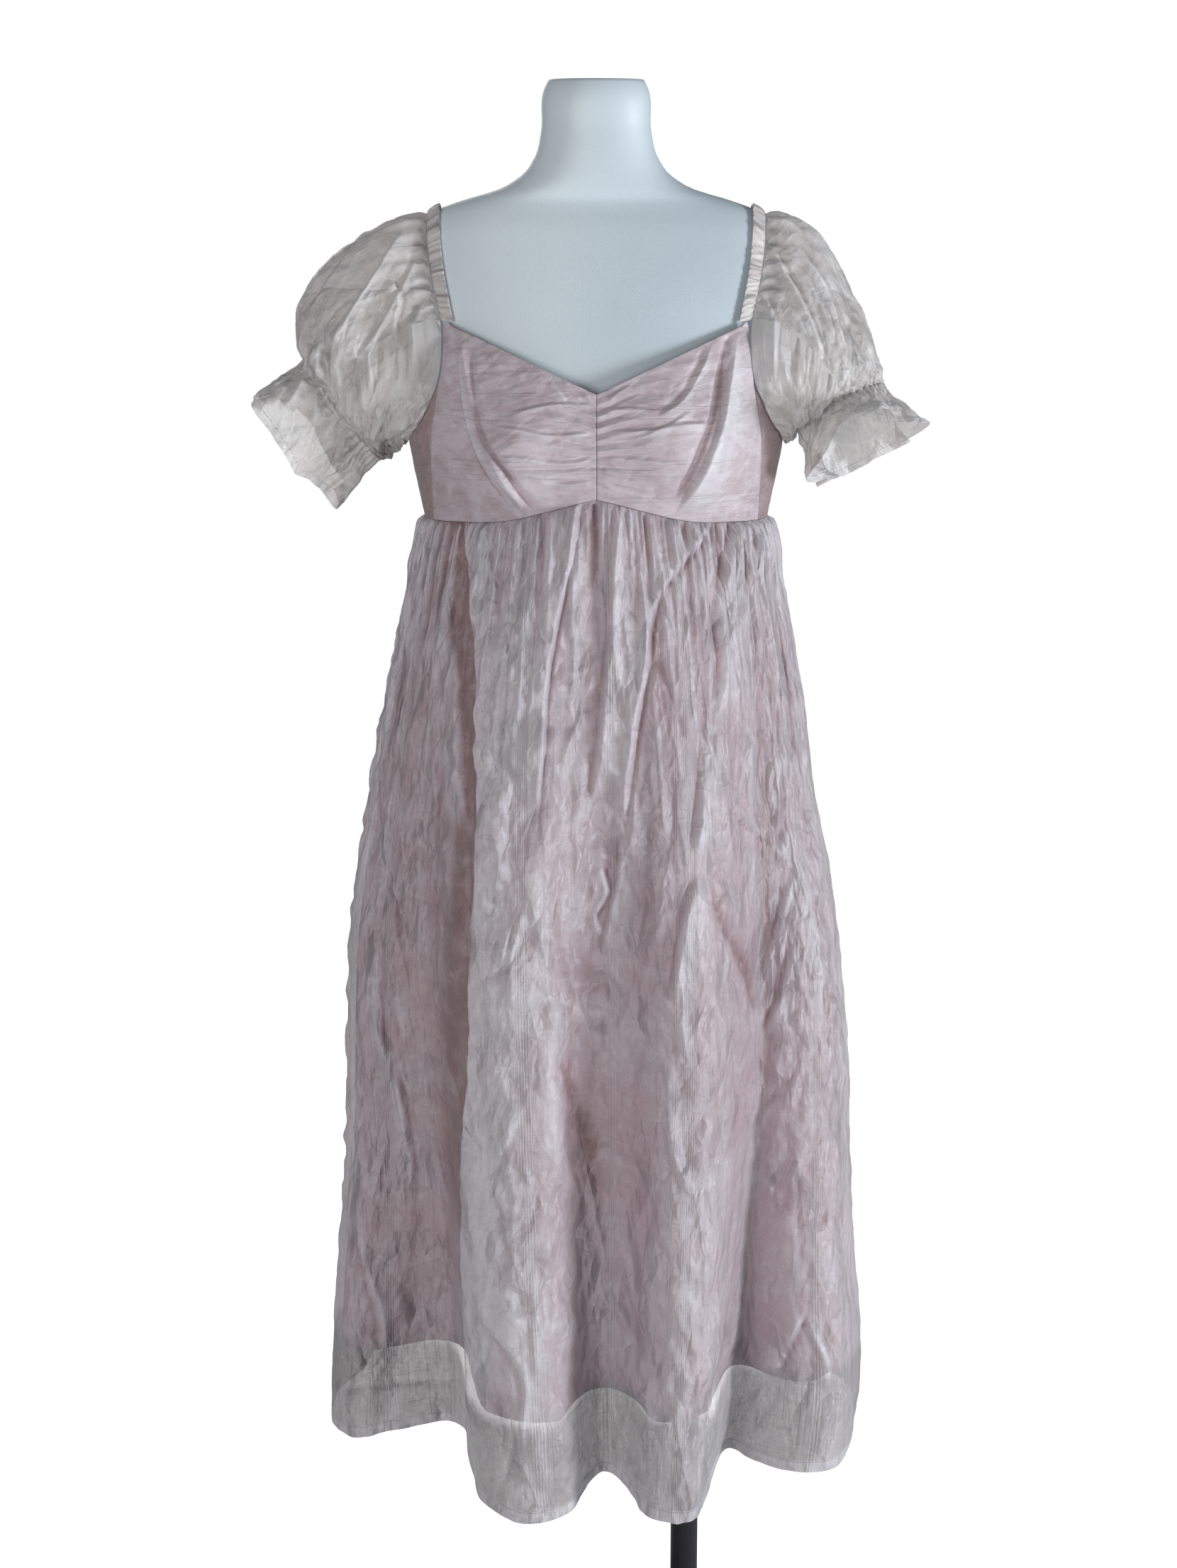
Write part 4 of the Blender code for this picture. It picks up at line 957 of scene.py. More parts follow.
skirt = {
    "hem": 0.350,
    # drop, and how far the skirt stands out at the right, left, front and back
    "flares": (
        (0.000, 0.0000, 0.0000, 0.000, 0.000), (0.030, 0.0080, 0.0080, 0.009, 0.008),
        (0.060, 0.0150, 0.0120, 0.017, 0.016), (0.130, 0.0300, 0.0280, 0.033, 0.030),
        (0.200, 0.0450, 0.0400, 0.047, 0.042), (0.280, 0.0600, 0.0510, 0.060, 0.054),
        (0.350, 0.0720, 0.0660, 0.069, 0.063), (0.430, 0.0820, 0.0780, 0.078, 0.072),
        (0.540, 0.0870, 0.0890, 0.089, 0.084), (0.660, 0.0910, 0.0940, 0.099, 0.094),
        (0.780, 0.1020, 0.1010, 0.108, 0.103), (0.860, 0.1080, 0.1080, 0.113, 0.109),
        (0.950, 0.1120, 0.1030, 0.118, 0.115),
    ),
    # angle at the seam, and the place that a fold reaches at the hem
    "hemPoints": (
        (-180, 0.000, 0.262), (-171, -0.030, 0.240), (-163, -0.052, 0.188), (-155, -0.082, 0.206),
        (-147, -0.118, 0.240), (-139, -0.142, 0.196), (-132, -0.158, 0.156), (-124, -0.205, 0.168),
        (-114, -0.243, 0.132), (-103, -0.252, 0.072), (-90, -0.278, 0.006), (-78, -0.272, -0.068),
        (-68, -0.243, -0.094), (-59, -0.202, -0.074), (-51, -0.160, -0.056), (-44, -0.136, -0.078),
        (-39, -0.127, -0.145), (-34, -0.117, -0.208), (-28, -0.097, -0.250), (-20, -0.064, -0.271),
        (-12, -0.025, -0.248), (-6, -0.008, -0.192), (0, 0.008, -0.168), (7, 0.030, -0.194),
        (14, 0.046, -0.248), (24, 0.082, -0.272), (33, 0.106, -0.242), (40, 0.118, -0.178),
        (47, 0.134, -0.118), (54, 0.158, -0.140), (61, 0.188, -0.163), (70, 0.236, -0.163),
        (80, 0.264, -0.096), (92, 0.275, 0.012), (103, 0.252, 0.074), (114, 0.240, 0.136),
        (124, 0.200, 0.166), (132, 0.156, 0.154), (139, 0.140, 0.194), (147, 0.116, 0.238),
        (155, 0.082, 0.208), (163, 0.052, 0.190), (171, 0.030, 0.240), (180, 0.000, 0.262),
    ),
    "foldStart": 0.70,
    # degrees apart, height, and share of the skirt that they reach down
    "gathers": ((1.8, 0.0022, 0.04), (3.3, 0.0046, 0.09), (6.4, 0.0050, 0.20), (13.5, 0.0036, 0.36)),
    "rightSeam": -82.0,
    "leftSeam": 92.0,
    "columns": 440,
    "rows": 225,
    "folds": (
        (7.5, 2.5, 24, 664, 770, 672, 844, 675, 921, 675, 1075, 677, 1150, 674, 1250, 669, 1350,
         667, 1500, 661, 1600, 659, 1700, 658, 1787, 660, 1824, 663, 1977, 665, 2093),
        (-7.0, 11, 3, 650, 740, 657, 860, 661, 930, 661, 1075, 663, 1150, 660, 1250, 655, 1350,
         653, 1500, 648, 1600, 646, 1700, 646, 1800),
        (5.0, 12, 2.5, 608, 867, 639, 921, 643, 998, 652, 1132, 660, 1186),
        (6.5, 16, 2.0, 812, 735, 798, 817, 783, 882, 770, 959, 764, 1055, 758, 1113, 752, 1186),
        (3.0, 16, 7, 752, 1186, 755, 1250, 767, 1350, 780, 1450, 780, 1530, 782, 1620, 807, 1700),
        (2.2, 2, 5, 695, 1175, 727, 1200),
        (2.5, 2, 5, 692, 1225, 735, 1255),
        (2.5, 2, 5, 740, 1280, 727, 1325, 722, 1350, 725, 1430),
        (-2.5, 2, 2, 720, 1450, 737, 1510),
        (2.5, 4, 2, 730, 1580, 695, 1650),
        (2.0, 3, 3, 740, 1650, 752, 1675),
        (3.0, 3, 8, 663, 1761, 676, 1824, 687, 1861, 721, 1908, 742, 1956, 737, 2008, 724, 2061,
         713, 2098, 721, 2124),
        (2.5, 3, 6, 753, 1798, 755, 1893, 758, 1966),
        (2.2, 2, 5, 700, 1010, 728, 1040, 752, 1090),
        (2.0, 2, 4, 705, 1060, 735, 1100),
        (2.0, 2, 4, 690, 960, 715, 985),
        (5.5, 2.5, 9, 875, 721, 868, 786, 864, 825, 862, 905, 854, 978, 847, 1055, 833, 1155),
        (4.0, 6, 2, 840, 1210, 855, 1260, 837, 1295, 855, 1325),
        (3.5, 2, 7, 880, 1175, 872, 1250, 860, 1300, 855, 1330, 856, 1357),
        (2.5, 3, 5, 856, 1357, 880, 1390),
        (2.5, 2, 5, 860, 1430, 862, 1475, 880, 1500),
        (-3.0, 8, 5, 780, 1475, 825, 1585, 850, 1700),
        (2.0, 3, 2, 820, 950, 845, 930),
        (6.0, 11, 2.5, 985, 763, 925, 844, 914, 890, 910, 940, 900, 990, 891, 1048, 881, 1132,
         877, 1186),
        (-3.0, 3, 5, 923, 921, 950, 990, 973, 1059),
        (6.5, 2.5, 12, 1037, 740, 1023, 805, 1014, 875, 1020, 921, 1016, 978, 1010, 1025),
        (3.0, 3, 2, 1010, 1025, 1004, 1032, 995, 1036),
        (6.0, 2.5, 12, 995, 1036, 991, 1113, 983, 1186, 980, 1215),
        (5.5, 2.5, 10, 990, 1230, 977, 1260, 965, 1320, 955, 1385, 952, 1425),
        (3.0, 3, 6, 952, 1425, 962, 1455, 960, 1500),
        (2.5, 3, 6, 937, 1535, 945, 1580, 950, 1625, 980, 1695),
        (3.0, 2.5, 8, 1070, 763, 1055, 830, 1037, 898),
        (-3.0, 4, 6, 1005, 1250, 1020, 1305, 1050, 1365, 1070, 1445),
        (3.0, 2.5, 8, 1120, 1150, 1105, 1210, 1120, 1225, 1110, 1265, 1100, 1310, 1080, 1370,
         1070, 1430),
        (3.0, 3, 8, 1125, 1320, 1105, 1400, 1080, 1470),
        (3.0, 8, 2.5, 1130, 1230, 1140, 1280, 1155, 1360, 1155, 1485),
        (2.5, 2, 5, 1029, 1136, 1060, 1165, 1087, 1186),
        (3.0, 8, 3, 1098, 1059, 1095, 1152),
        (2.0, 3, 4, 1085, 1560, 1070, 1600),
        (3.5, 5, 2.5, 1134, 1850, 1110, 1900, 1087, 1945),
        (3.5, 2.5, 6, 1137, 1856, 1155, 1900, 1171, 1935),
        (3.0, 6, 3, 1192, 1940, 1155, 2035, 1147, 2072),
        (2.5, 2.5, 5, 913, 1982, 930, 2020, 942, 2050),
        (4.0, 8, 3, 535, 1315, 532, 1410, 535, 1465, 555, 1515, 572, 1600, 582, 1665, 590, 1700),
        (2.5, 3, 5, 560, 1400, 572, 1470),
        (2.5, 3, 5, 545, 1480, 587, 1545),
        (3.0, 3, 7, 500, 1714, 510, 1756, 524, 1808, 537, 1845, 542, 1893, 550, 1935),
        (2.5, 3, 3, 476, 1966, 555, 1956, 660, 1950),
        (2.0, 2, 2, 518, 1887, 550, 1925),
        (2.0, 2, 2, 550, 1887, 522, 1935),
        (2.0, 2, 2, 530, 1920, 560, 1956),
    ),
    "foldsStartBelow": 800,
    # the gathered cloth is drawn in to about half its width, and its buckles with it
    "drawnIn": 0.55,
    # size, lean and depth of the buckles, and what is added to the seed
    "buckles": ((0.029, 0.30, -0.0050, 0), (0.016, -0.45, -0.0028, 11)),
    "deepest": -0.0060,
    "proudest": 0.0110,
    # painted light: how pale flat cloth is painted, the painted light added lower down, and the painted
    # highlight added on a big fold of full reach
    "flatLift": 0.32,
    "lowerPaintedLight": 0.09,
    "bigFoldPaintedLight": (0.24, 0.060),
    # painted highlight: the height at which a fold is painted palest, that of a full step, and the share of
    # the buckles left out
    "foldPaintedLight": (0.0032, 0.0095, 0.80),
    "flatWidth": 2.15,
    "flatLength": 0.96,
}

lining = {
    "hem": 0.440, "inset": 0.0085, "ridgeShare": 0.45, "wall": 0.0006, "flatWidth": 1.70, "flatLength": 0.86,
    "columns": 190, "rows": 150,
}


def sweptOut(angle, seam, drop):
    x, y = oval(angle, *(fromTable(bodice["levels"], k, seam) for k in (1, 2, 3)))
    y = y - bustSwell(x, seam, bodice["cupSwell"]) * (np.cos(np.radians(angle)) > 0)
    sine, cosine = np.sin(np.radians(angle)), np.cos(np.radians(angle))
    right, left, front, back = (fromTable(skirt["flares"], k, drop) for k in (1, 2, 3, 4))
    flare = np.where(sine > 0, left, right) * sine**2 + np.where(cosine > 0, front, back) * cosine**2
    out = flare / np.hypot(x, y)
    return x * (1 + out), y * (1 + out)


def skirtPoint(angle, share, hem, ridgeShare=1.0):
    seam = seamHeight(angle) - bodice["gap"]
    height = seam + (hem - seam) * share
    depth = (seam - height) / (seam - skirt["hem"])
    baseX, baseY = sweptOut(angle, seam, seam - height)
    hemX, hemY = sweptOut(angle, seam, seam - skirt["hem"])
    growth = depth * (skirt["foldStart"] + (1 - skirt["foldStart"]) * depth)
    foldX = (fromTable(skirt["hemPoints"], 1, angle) - hemX) * growth
    foldY = (fromTable(skirt["hemPoints"], 2, angle) - hemY) * growth
    x, y = baseX + foldX, baseY + foldY
    reach = np.hypot(x, y)
    proud = (foldX * x + foldY * y) / reach
    out = -np.clip(proud, 0, None) * (1 - ridgeShare) / reach
    return np.stack(np.broadcast_arrays(x * (1 + out), y * (1 + out), height), axis=-1)


def sheetOutward(place):
    # outward directions of a sheet whose rows run up and whose columns run to the wearer's left
    return unitRows(np.cross(np.gradient(place, axis=1), np.gradient(place, axis=0)))


def gathers(angle, share, seed):
    # uneven gathers under the seam, each of its own length, sharper at the seam
    depth = np.zeros(angle.shape)
    for layer, (step, deep, length) in enumerate(skirt["gathers"]):
        leaning = angle + 2.5 * clouds(angle / 14, share * 4, seed + layer) * share * 8
        cell = leaning / step
        i = np.floor(cell)
        middle = i + 0.5 + 0.32 * (scatter(i, layer, seed) - 0.5)
        wide = 0.20 + 0.18 * scatter(i, layer, seed + 3)
        long = length * (0.45 + 1.1 * scatter(i, layer, seed + 7))
        crest = np.exp(-np.abs((cell - middle) / wide) * np.where(cell > middle, 1.6, 0.9))
        depth = depth + deep * (crest - 0.36) * np.exp(-((share / long) ** 1.3))
    return depth * eased(share / 0.006)


def veilShape(start, end, seed, folded):
    def shape(u, v):
        angle = start + (end - start) * u
        wrapped = np.where(angle > 180, angle - 360, angle)
        share = 1 - v
        place = skirtPoint(wrapped, share, skirt["hem"])
        outward = sheetOutward(place)
        acrossCut, downCut = angle / 360 * skirt["flatWidth"], share * skirt["flatLength"]
        calm = 0.35 + 0.65 * eased(clouds(acrossCut / 0.13, downCut / 0.21, seed + 2) * 0.8 + 0.55)
        real = acrossCut * skirt["drawnIn"]
        crumpled = sum(buckled(real, downCut, seed, *row) for row in skirt["buckles"])
        crumpled = crumpled * calm * (0.25 + 0.75 * eased(share / 0.12))
        pressed = crumpled + gathers(angle, share, seed)
        if folded:
            pressed = pressed + pressFolds(place, skirt["folds"], skirt["foldsStartBelow"])
        # painted light: lifted cloth is painted lighter and its hollows darker, and the lower skirt is
        # painted lighter too
        palest, fullStep, leftOut = skirt["foldPaintedLight"]
        lift = skirt["flatLift"] + np.minimum(pressed - crumpled * leftOut, palest) / fullStep
        lift = lift + skirt["lowerPaintedLight"] * eased((share - 0.45) / 0.4)
        sides = np.minimum(u, 1 - u) * np.radians(end - start) * 0.25
        pressed = pressed * eased(sides / 0.010) * eased(share / 0.004)
        pressed = np.clip(pressed, skirt["deepest"], skirt["proudest"])
        # painted highlight: the big folds stand away from the lining, and are painted lighter than the
        # hollows between them
        plain = np.hypot(*sweptOut(wrapped, seamHeight(wrapped), seamHeight(wrapped) - place[..., 2]))
        bigFoldPaintedLight, fullReach = skirt["bigFoldPaintedLight"]
        proud = (np.hypot(place[..., 0], place[..., 1]) - plain) / fullReach
        hollow = lining["hem"] + 0.006 * clouds(acrossCut / 0.05, downCut * 0, 71)
        behind = eased((place[..., 2] - hollow + 0.001) / 0.020)
        return {
            "place": place + outward * pressed[..., None],
            "cut": np.stack((acrossCut, downCut), axis=-1),
            "lift": np.clip(lift + bigFoldPaintedLight * np.clip(proud, -0.4, 1), 0, 1),
            "hemward": (1 - share) * skirt["flatLength"],
            "backed": np.maximum(behind, 0.40 * eased(proud * 1.5)),
        }

    return shape


def liningSpot(ring, v):
    # the whole lining as a ring, so that its two halves share their seams
    angle = skirt["rightSeam"] + 360 * ring
    wrapped = np.where(angle > 180, angle - 360, angle)
    place = skirtPoint(wrapped, 1 - v, lining["hem"], lining["ridgeShare"])
    return place, np.stack((angle / 360 * lining["flatWidth"], (1 - v) * lining["flatLength"]), axis=-1)


def liningPart(first, last):
    def shape(u, v):
        ring = first + (last - first) * u
        place, cut = liningSpot(ring, v)
        step = 0.002
        ahead, behind = liningSpot(ring + step, v)[0], liningSpot(ring - step, v)[0]
        outward = unitRows(np.cross(ahead - behind, np.gradient(place, axis=0)))
        return {"place": place - outward * lining["inset"], "cut": cut, "hemward": v * lining["flatLength"]}

    return shape


veil = organza("sheer skirt organza", organzaTints, drawn=1.6)
liningLook = liningCloth("rose lining", liningTints)
start, end = skirt["rightSeam"], skirt["leftSeam"]
split = (end - start) / 360
for half, first, last in (("Front", 0, split), ("Back", split, 1)):
    piece = layOut("lining" + half, lining["columns"], lining["rows"], liningPart(first, last))
    thicken(piece, lining["wall"])
    dress(piece, liningLook, ["lining_" + half.lower()])
for half, first, last, seed in (("Front", start, end, 3), ("Back", end, 360 + start, 23)):
    shape = veilShape(first, last, seed, folded=half == "Front")
    piece = layOut("skirt" + half, skirt["columns"], skirt["rows"], shape)
    dress(piece, veil, ["skirt_" + half.lower()])
print("skirt and lining done")


# shoulder bands

shoulder = {
    "width": 0.013, "wall": 0.0030, "centre": (0.010, 1.500), "liftEnd": 0.0046, "liftTop": 0.0022,
    "endX": 0.1340, "topX": 0.1500, "endShare": 0.008, "capShare": 0.01, "gathers": 31, "depth": 0.0006,
    "halvings": 34, "columns": 330, "rows": 20, "middle": (0.1565, 0.010, 1.500),
}


def bandSpot(side, share, across, lift):
    front = bodicePoint(np.array(bodice["cornerAngle"]), np.array(bodice["armhole"][0][1]))
    back = bodicePoint(np.array(bodice["backCornerAngle"]), np.array(bodice["armhole"][-1][1]))
    middleY, middleZ = shoulder["centre"]
    first = math.atan2(front[2] - middleZ, front[1] - middleY)
    last = math.atan2(back[2] - middleZ, back[1] - middleY)
    first += math.tau if first < 0 else 0
    turn = first + (last - first) * share
    x = shoulder["endX"] + (shoulder["topX"] - shoulder["endX"]) * np.sin(np.pi * share) ** 0.8 + across
    low, high = np.full(np.shape(x), 0.02), np.full(np.shape(x), 0.25)
    for halving in range(shoulder["halvings"]):
        reach = (low + high) / 2
        held = insideForm(x, middleY + reach * np.cos(turn), middleZ + reach * np.sin(turn))
        low, high = np.where(held, reach, low), np.where(held, high, reach)
    ends = np.abs(2 * share - 1) ** 3
    reach = low + shoulder["liftTop"] + (shoulder["liftEnd"] - shoulder["liftTop"]) * ends + lift
    return np.stack((side * x, middleY + reach * np.cos(turn), middleZ + reach * np.sin(turn)), axis=-1)


def bandShape(side):
    def shape(u, v):
        end, cap = shoulder["endShare"], shoulder["capShare"]
        share = end + (1 - 2 * end) * np.clip((u - cap) / (1 - 2 * cap), 0, 1)
        ring = math.tau * v
        # a flattened oval section, closed at its two ends
        closed = np.sqrt(np.clip(np.minimum(u, 1 - u) / cap, 0, 1))
        wide = np.sign(np.cos(ring)) * np.abs(np.cos(ring)) ** 0.45
        tall = np.sign(np.sin(ring)) * np.abs(np.sin(ring)) ** 0.7
        wave = share * shoulder["gathers"] + 0.9 * clouds(share * 24, v * 2 + side, 61)
        puff = shoulder["depth"] * np.cos(math.tau * wave) * np.clip(tall + 0.2, 0, 1)
        across = shoulder["width"] / 2 + (shoulder["width"] / 2 - 0.0002) * wide * closed
        lift = shoulder["wall"] / 2 * (1 + tall * closed) + puff * closed
        return {
            "place": bandSpot(side, share, across, lift),
            "cut": np.stack((share * 0.30, v * 0.032), axis=-1),
            # lift gives painted highlight on the gathers' crests and painted shade between them
            "lift": np.clip(0.4 + puff / 0.003, 0, 1),
            "hemward": np.full(u.shape, 1.0),
        }

    return shape


sleeveTints = {
    "pink": (0.535, 0.475, 0.455),
    "mauve": (0.60, 0.57, 0.555),
    "pale": (0.80, 0.80, 0.81),
    "thread": (0.42, 0.40, 0.40),
    "opaque": 0.66,
    "hemWidth": 0.008,
    "depths": (13.0, 8.0, 3.6, 6.0),
}
sleeveVeil = organza("sheer sleeve organza", sleeveTints)
bandVeil = organza("gathered elastic organza", {**sleeveTints, "opaque": 0.95}, hem=False)
for label, side in (("Right", -1), ("Left", 1)):
    x, y, z = shoulder["middle"]
    grid = shoulder["columns"], shoulder["rows"]
    middle = Vector((side * x, y, z))
    piece = layOut("shoulderBand" + label, *grid, bandShape(side), wrapped=True, centre=middle)
    dress(piece, bandVeil, ["sleeve_band_" + label.lower()])
print("shoulder bands done")


# sleeves

sleeves = {
    # quarters at the front, top, back and underarm: run out, swell in, swell out, hang over, flare
    "Right": {
        "side": -1, "cuff": (-0.2410, -0.0050, 1.4050),
        "topAxis": (-0.56, 0.00, 0.83), "frontAxis": (-0.12, -0.99, -0.05),
        "frillAxis": (-0.76, -0.06, -0.64), "topRadius": 0.061, "frontRadius": 0.054,
        "quarters": (
            (0.060, 0.008, 0.034, 0.004, 12), (0.072, 0.006, 0.048, 0.034, -6),
            (0.060, 0.012, 0.040, 0.006, 12), (0.014, 0.006, 0.012, 0.004, 4),
        ),
        "frillLength": 0.064, "waves": 6, "phase": 150.0, "lobe": 28.0, "lobeReach": 0.026,
    },
    "Left": {
        "side": 1, "cuff": (0.2370, -0.0080, 1.4010),
        "topAxis": (0.90, 0.05, 0.43), "frontAxis": (0.06, -0.96, 0.26),
        "frillAxis": (0.36, -0.22, -0.90), "topRadius": 0.046, "frontRadius": 0.052,
        "quarters": (
            (0.052, 0.008, 0.034, 0.008, 62), (0.066, 0.008, 0.014, -0.040, 5),
            (0.052, 0.010, 0.034, 0.004, 14), (0.006, 0.004, 0.002, 0.000, -6),
        ),
        "frillLength": 0.060, "waves": 6, "phase": 65.0, "lobe": 82.0, "lobeReach": 0.008,
    },
}
sleeveMake = {
    "columns": 300, "rows": 220, "puffShare": 0.70, "frillWave": 0.010, "lobeWidth": 17.0,
    "wall": 0.0012, "lap": 0.003, "underZ": 1.480, "headGathers": 34, "cuffGathers": 44,
    # depth of the gathers and how far they reach, and of the casing round the elastic
    "headDepth": 0.0014, "headReach": 0.026, "cuffDepth": 0.0018, "cuffReach": 0.016,
    "casing": 0.0012, "elasticDepth": 0.0022,
    # size, lean and depth of the buckles and of the small ones, and what is added to the seed
    "buckles": ((0.040, 0.45, -0.0060, 0), (0.018, -0.3, -0.0026, 9)),
    "smallBuckles": (0.008, 0.3, -0.0008, 13),
    "flatWidth": 0.42, "flatLength": 0.27,
    "folds": (
        (4.0, 3, 6, 450, 480, 432, 530, 408, 565, 387, 587),
        (3.0, 4, 3, 450, 480, 449, 525, 447, 560, 437, 633),
        (4.0, 2, 7, 520, 320, 490, 360, 455, 410, 432, 450),
        (4.5, 2, 7, 570, 325, 535, 380, 497, 440, 462, 490),
        (3.5, 2, 6, 590, 360, 560, 420, 530, 470, 500, 520),
        (3.5, 2, 6, 600, 420, 575, 470, 545, 520, 520, 570),
        (3.0, 5, 2, 548, 390, 562, 420, 556, 455, 560, 480),
        (3.0, 2, 4, 490, 500, 520, 505, 560, 490),
        (4.0, 6, 2, 1080, 340, 1110, 390, 1140, 450, 1165, 520),
        (4.0, 6, 2, 1110, 330, 1145, 380, 1175, 440, 1195, 500),
        (3.5, 6, 2, 1068, 400, 1090, 450, 1105, 510, 1120, 560),
    ),
}


def quarterValue(sleeve, column, turn):
    place = (turn * 4) % 4
    i = np.floor(place).astype(int) % 4
    values = np.array([quarter[column] for quarter in sleeve["quarters"]], float)
    return values[i] + (values[(i + 1) % 4] - values[i]) * eased(place - np.floor(place))


def sleeveHead(side, turn):
    end = shoulder["endShare"]
    share = end + (1 - 2 * end) * np.clip(turn * 2, 0, 1)
    outerEdge = np.full(np.shape(turn), shoulder["width"] + 2 * bodice["gap"])
    band = bandSpot(side, share, outerEdge, shoulder["wall"] * 0.6)
    backStrap, strap = bodice["backStrapAngle"], bodice["strapAngle"]
    angle = backStrap + (strap - backStrap) * np.clip(turn - 0.5, 0, 1) * 2
    point = bodicePoint(angle, bodiceEdge(angle)) * np.array((side, 1, 1))
    middleY, middleZ = shoulder["centre"][0], sleeveMake["underZ"]
    towards = np.stack((0 * angle, middleY - point[..., 1], middleZ - point[..., 2]), axis=-1)
    outward = np.stack((point[..., 0], point[..., 1], 0 * angle), axis=-1)
    # the seam allowance laps over the armhole's edge
    clear = sleeveMake["wall"] + 2 * bodice["gap"]
    under = point - unitRows(towards) * sleeveMake["lap"] + unitRows(outward) * clear
    return np.where(turn[..., None] <= 0.5, band, under)


def sleeveShape(sleeve, seed):
    side = sleeve["side"]

    def shape(u, v):
        turn = np.where(u > 0.9999, 0, u)
        down = 1 - v  # 0 at the armhole, 1 at the frill's edge
        head = sleeveHead(side, turn[0])[None]
        psi = math.tau * turn
        top = np.array(sleeve["topAxis"])
        top = top / np.linalg.norm(top)
        front = np.array(sleeve["frontAxis"])
        front = front - top * front.dot(top)
        front = front / np.linalg.norm(front)
        mouth = np.cross(front, top) * -side
        around = top * (np.sin(psi) * sleeve["topRadius"])[..., None]
        around = around + front * (np.cos(psi) * sleeve["frontRadius"])[..., None]
        outward = unitRows(around)
        cuff = np.array(sleeve["cuff"]) + around
        middleY, middleZ = shoulder["centre"][0], sleeveMake["underZ"]
        spread = np.stack((0 * head[..., 0], head[..., 1] - middleY, head[..., 2] - middleZ), axis=-1)
        spread = unitRows(spread)
        quarters = (quarterValue(sleeve, k, turn)[..., None] for k in range(5))
        runOut, swellIn, swellOut, hangOver, flare = quarters
        leave = head + np.array((side, 0, 0)) * runOut + spread * swellIn
        arrive = cuff + outward * swellOut + mouth * hangOver
        t = np.clip(down / sleeveMake["puffShare"], 0, 1)[..., None]
        puff = head * (1 - t) ** 3 + leave * 3 * t * (1 - t) ** 2
        puff = puff + arrive * 3 * t * t * (1 - t) + cuff * t**3
        s = np.clip((down - sleeveMake["puffShare"]) / (1 - sleeveMake["puffShare"]), 0, 1)
        degrees = np.degrees(psi)
        wave = sleeveMake["frillWave"] * np.sin(np.radians(sleeve["waves"] * degrees + sleeve["phase"]))
        fromLobe = (degrees - sleeve["lobe"] + 180) % 360 - 180
        wave = wave + sleeve["lobeReach"] * np.exp(-((fromLobe / sleeveMake["lobeWidth"]) ** 2))
        wave = wave + 0.0025 * np.sin(psi * 15 + sleeve["phase"]) * s
        flare = np.radians(flare)
        frillAxis = np.array(sleeve["frillAxis"])
        frillAxis = frillAxis / np.linalg.norm(frillAxis)
        along = frillAxis * np.cos(flare) + outward * np.sin(flare)
        frill = cuff + along * sleeve["frillLength"] * s[..., None] + outward * (wave * s)[..., None]
        place = np.where(s[..., None] > 0, frill, puff)
        # gathers at the armhole and on both sides of the elastic
        fromHead = t[..., 0] * 0.16
        fromCuff = np.where(s > 0, s * sleeve["frillLength"], (1 - t[..., 0]) * 0.16)
        headWave = np.cos(psi * sleeveMake["headGathers"] + 1.2 * np.sin(psi * 5))
        cuffWave = np.cos(psi * sleeveMake["cuffGathers"] + 1.5 * np.sin(psi * 7))
        headFade = np.exp(-((fromHead / sleeveMake["headReach"]) ** 2)) * eased(fromHead / 0.004)
        cuffFade = np.exp(-((fromCuff / sleeveMake["cuffReach"]) ** 2))
        gathered = sleeveMake["headDepth"] * headWave * headFade
        gathered = gathered + sleeveMake["cuffDepth"] * cuffWave * cuffFade
        casing = sleeveMake["casing"] * (1 - eased((fromCuff - 0.003) / 0.002))
        casing = casing - sleeveMake["elasticDepth"] * np.exp(-((fromCuff / 0.002) ** 2))
        acrossCut, downCut = u * sleeveMake["flatWidth"], down * sleeveMake["flatLength"]
        soft = eased(fromHead / 0.02) * eased((fromCuff - 0.004) / 0.012)
        pressed = sum(buckled(acrossCut, downCut, seed, *row) for row in sleeveMake["buckles"])
        pressed = pressed * soft + buckled(acrossCut, downCut, seed, *sleeveMake["smallBuckles"])
        facing = np.einsum("...i,i", outward, np.array((0, -1.0, 0.2))) > -0.2
        pressed = pressed + pressFolds(place, sleeveMake["folds"]) * soft * facing
        pressed = pressed + gathered + casing
        normal = sheetOutward(place)
        normal[:, 0] = normal[:, -1] = unitRows(normal[:, 0] + normal[:, -1])
        turnOut = np.sign(np.einsum("...i,...i", normal, outward).sum())
        # the two ends of the grid meet underarm, so what is pressed in agrees there
        meet = eased(np.minimum(u, 1 - u) / 0.02)
        pressed = pressed * meet + (pressed[:, :1] + pressed[:, -1:]) / 2 * (1 - meet)
        pressed = pressed * eased(fromHead / 0.003)
        return {
            "place": place + normal * (turnOut * pressed)[..., None],
            "cut": np.stack((acrossCut, downCut), axis=-1),
            # lift gives painted highlight on the fold crests and painted shade in the hollows
            "lift": np.clip(0.38 + pressed / 0.014, 0, 1),
            "hemward": np.where(s > 0, (1 - s) * sleeve["frillLength"], 1.0),
        }

    return shape


for label, sleeve in sleeves.items():
    grid = sleeveMake["columns"], sleeveMake["rows"]
    shape = sleeveShape(sleeve, 41 + sleeve["side"])
    piece = layOut("sleeve" + label, *grid, shape, wrapped=True, centre=Vector(sleeve["cuff"]))
    dress(piece, sleeveVeil, ["sleeve_" + label.lower()])
print("sleeves done")


# floor, light and world

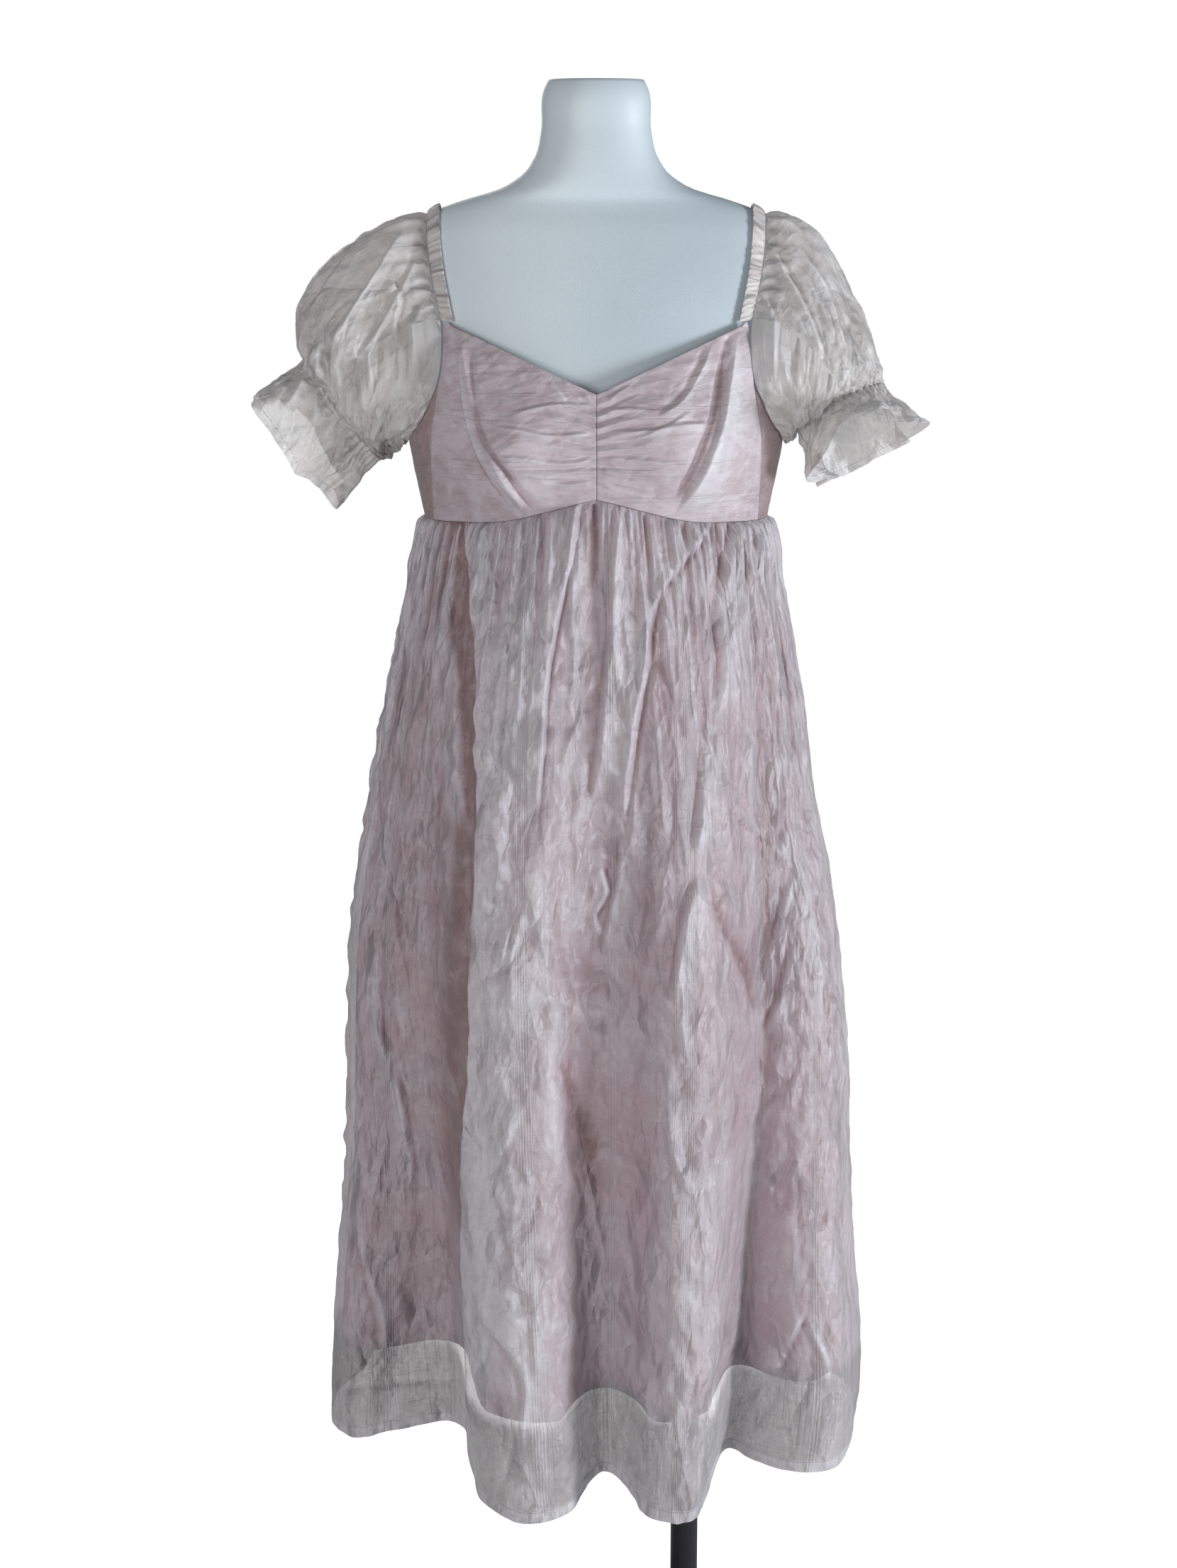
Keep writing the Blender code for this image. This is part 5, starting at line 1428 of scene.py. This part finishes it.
studio = {
    "floor": (0.55, 0.55, 0.55), "floorShade": (0.52, 0.52, 0.53), "floorSize": 30.0, "floorGlow": 0.90,
    # place, size, watts and colour of each lamp
    "key": ((3.3, -1.4, 1.15), 1.0, 101, (0.93, 0.965, 1.0)),
    "fill": ((-1.2, -3.2, 1.10), 1.8, 42, (1.0, 0.98, 0.965)),
    "back": ((-0.6, 3.2, 2.2), 2.0, 36, (1.0, 0.99, 0.98)),
    "lampsLookAt": (0, 0, 1.1),
    "ambient": 0.22, "ambientColour": (0.93, 0.96, 1.0), "backdrop": 1.05,
}

floorMesh = bmesh.new()
bmesh.ops.create_grid(floorMesh, x_segments=1, y_segments=1, size=studio["floorSize"])
bmesh.ops.translate(floorMesh, verts=floorMesh.verts, vec=(0, 0, -0.0005))
floorPiece = finishMesh("studioFloor", floorMesh, smooth=False)
floorLook = Look("pale floor", Roughness=0.85)
speckle = floorLook.noise(floorLook.scaled(floorLook.place(), 0.4, 0.4, 0.4), detail=2.0)
floorLook.set("Base Color", floorLook.blend(speckle * 0.15, studio["floor"], studio["floorShade"]))
toCamera = floorLook.node("ShaderNodeLightPath", output="Is Camera Ray")
floorLook.set("Emission Color", floorLook.blend(toCamera, (0.0, 0.0, 0.0), (1.0, 1.0, 1.0)))
floorLook.set("Emission Strength", studio["floorGlow"])
floorPiece.data.materials.append(floorLook.material)

for name in ("key", "fill", "back"):
    place, size, power, colour = studio[name]
    lampData = bpy.data.lights.new(name + "Light", "AREA")
    lampData.shape = "DISK"
    lampData.size = size
    lampData.energy = power
    lampData.color = colour
    lamp = bpy.data.objects.new(name + "Light", lampData)
    lamp.location = place
    aim = Vector(studio["lampsLookAt"]) - Vector(place)
    lamp.rotation_euler = aim.to_track_quat("-Z", "Y").to_euler()
    bpy.context.scene.collection.objects.link(lamp)

world = bpy.data.worlds.new("studio")
world.use_nodes = True
bpy.context.scene.world = world
tree = world.node_tree
background = tree.nodes["Background"]
background.inputs["Color"].default_value = (*studio["ambientColour"], 1.0)
background.inputs["Strength"].default_value = studio["ambient"]
# the camera sees a plain white backdrop
backdrop = tree.nodes.new("ShaderNodeBackground")
backdrop.inputs["Color"].default_value = (1.0, 1.0, 1.0, 1.0)
backdrop.inputs["Strength"].default_value = studio["backdrop"]
seen = tree.nodes.new("ShaderNodeLightPath")
mixed = tree.nodes.new("ShaderNodeMixShader")
tree.links.new(seen.outputs["Is Camera Ray"], mixed.inputs[0])
tree.links.new(background.outputs[0], mixed.inputs[1])
tree.links.new(backdrop.outputs[0], mixed.inputs[2])
tree.links.new(mixed.outputs[0], tree.nodes["World Output"].inputs["Surface"])
bpy.context.scene.view_settings.view_transform = "Standard"
print("studio done")
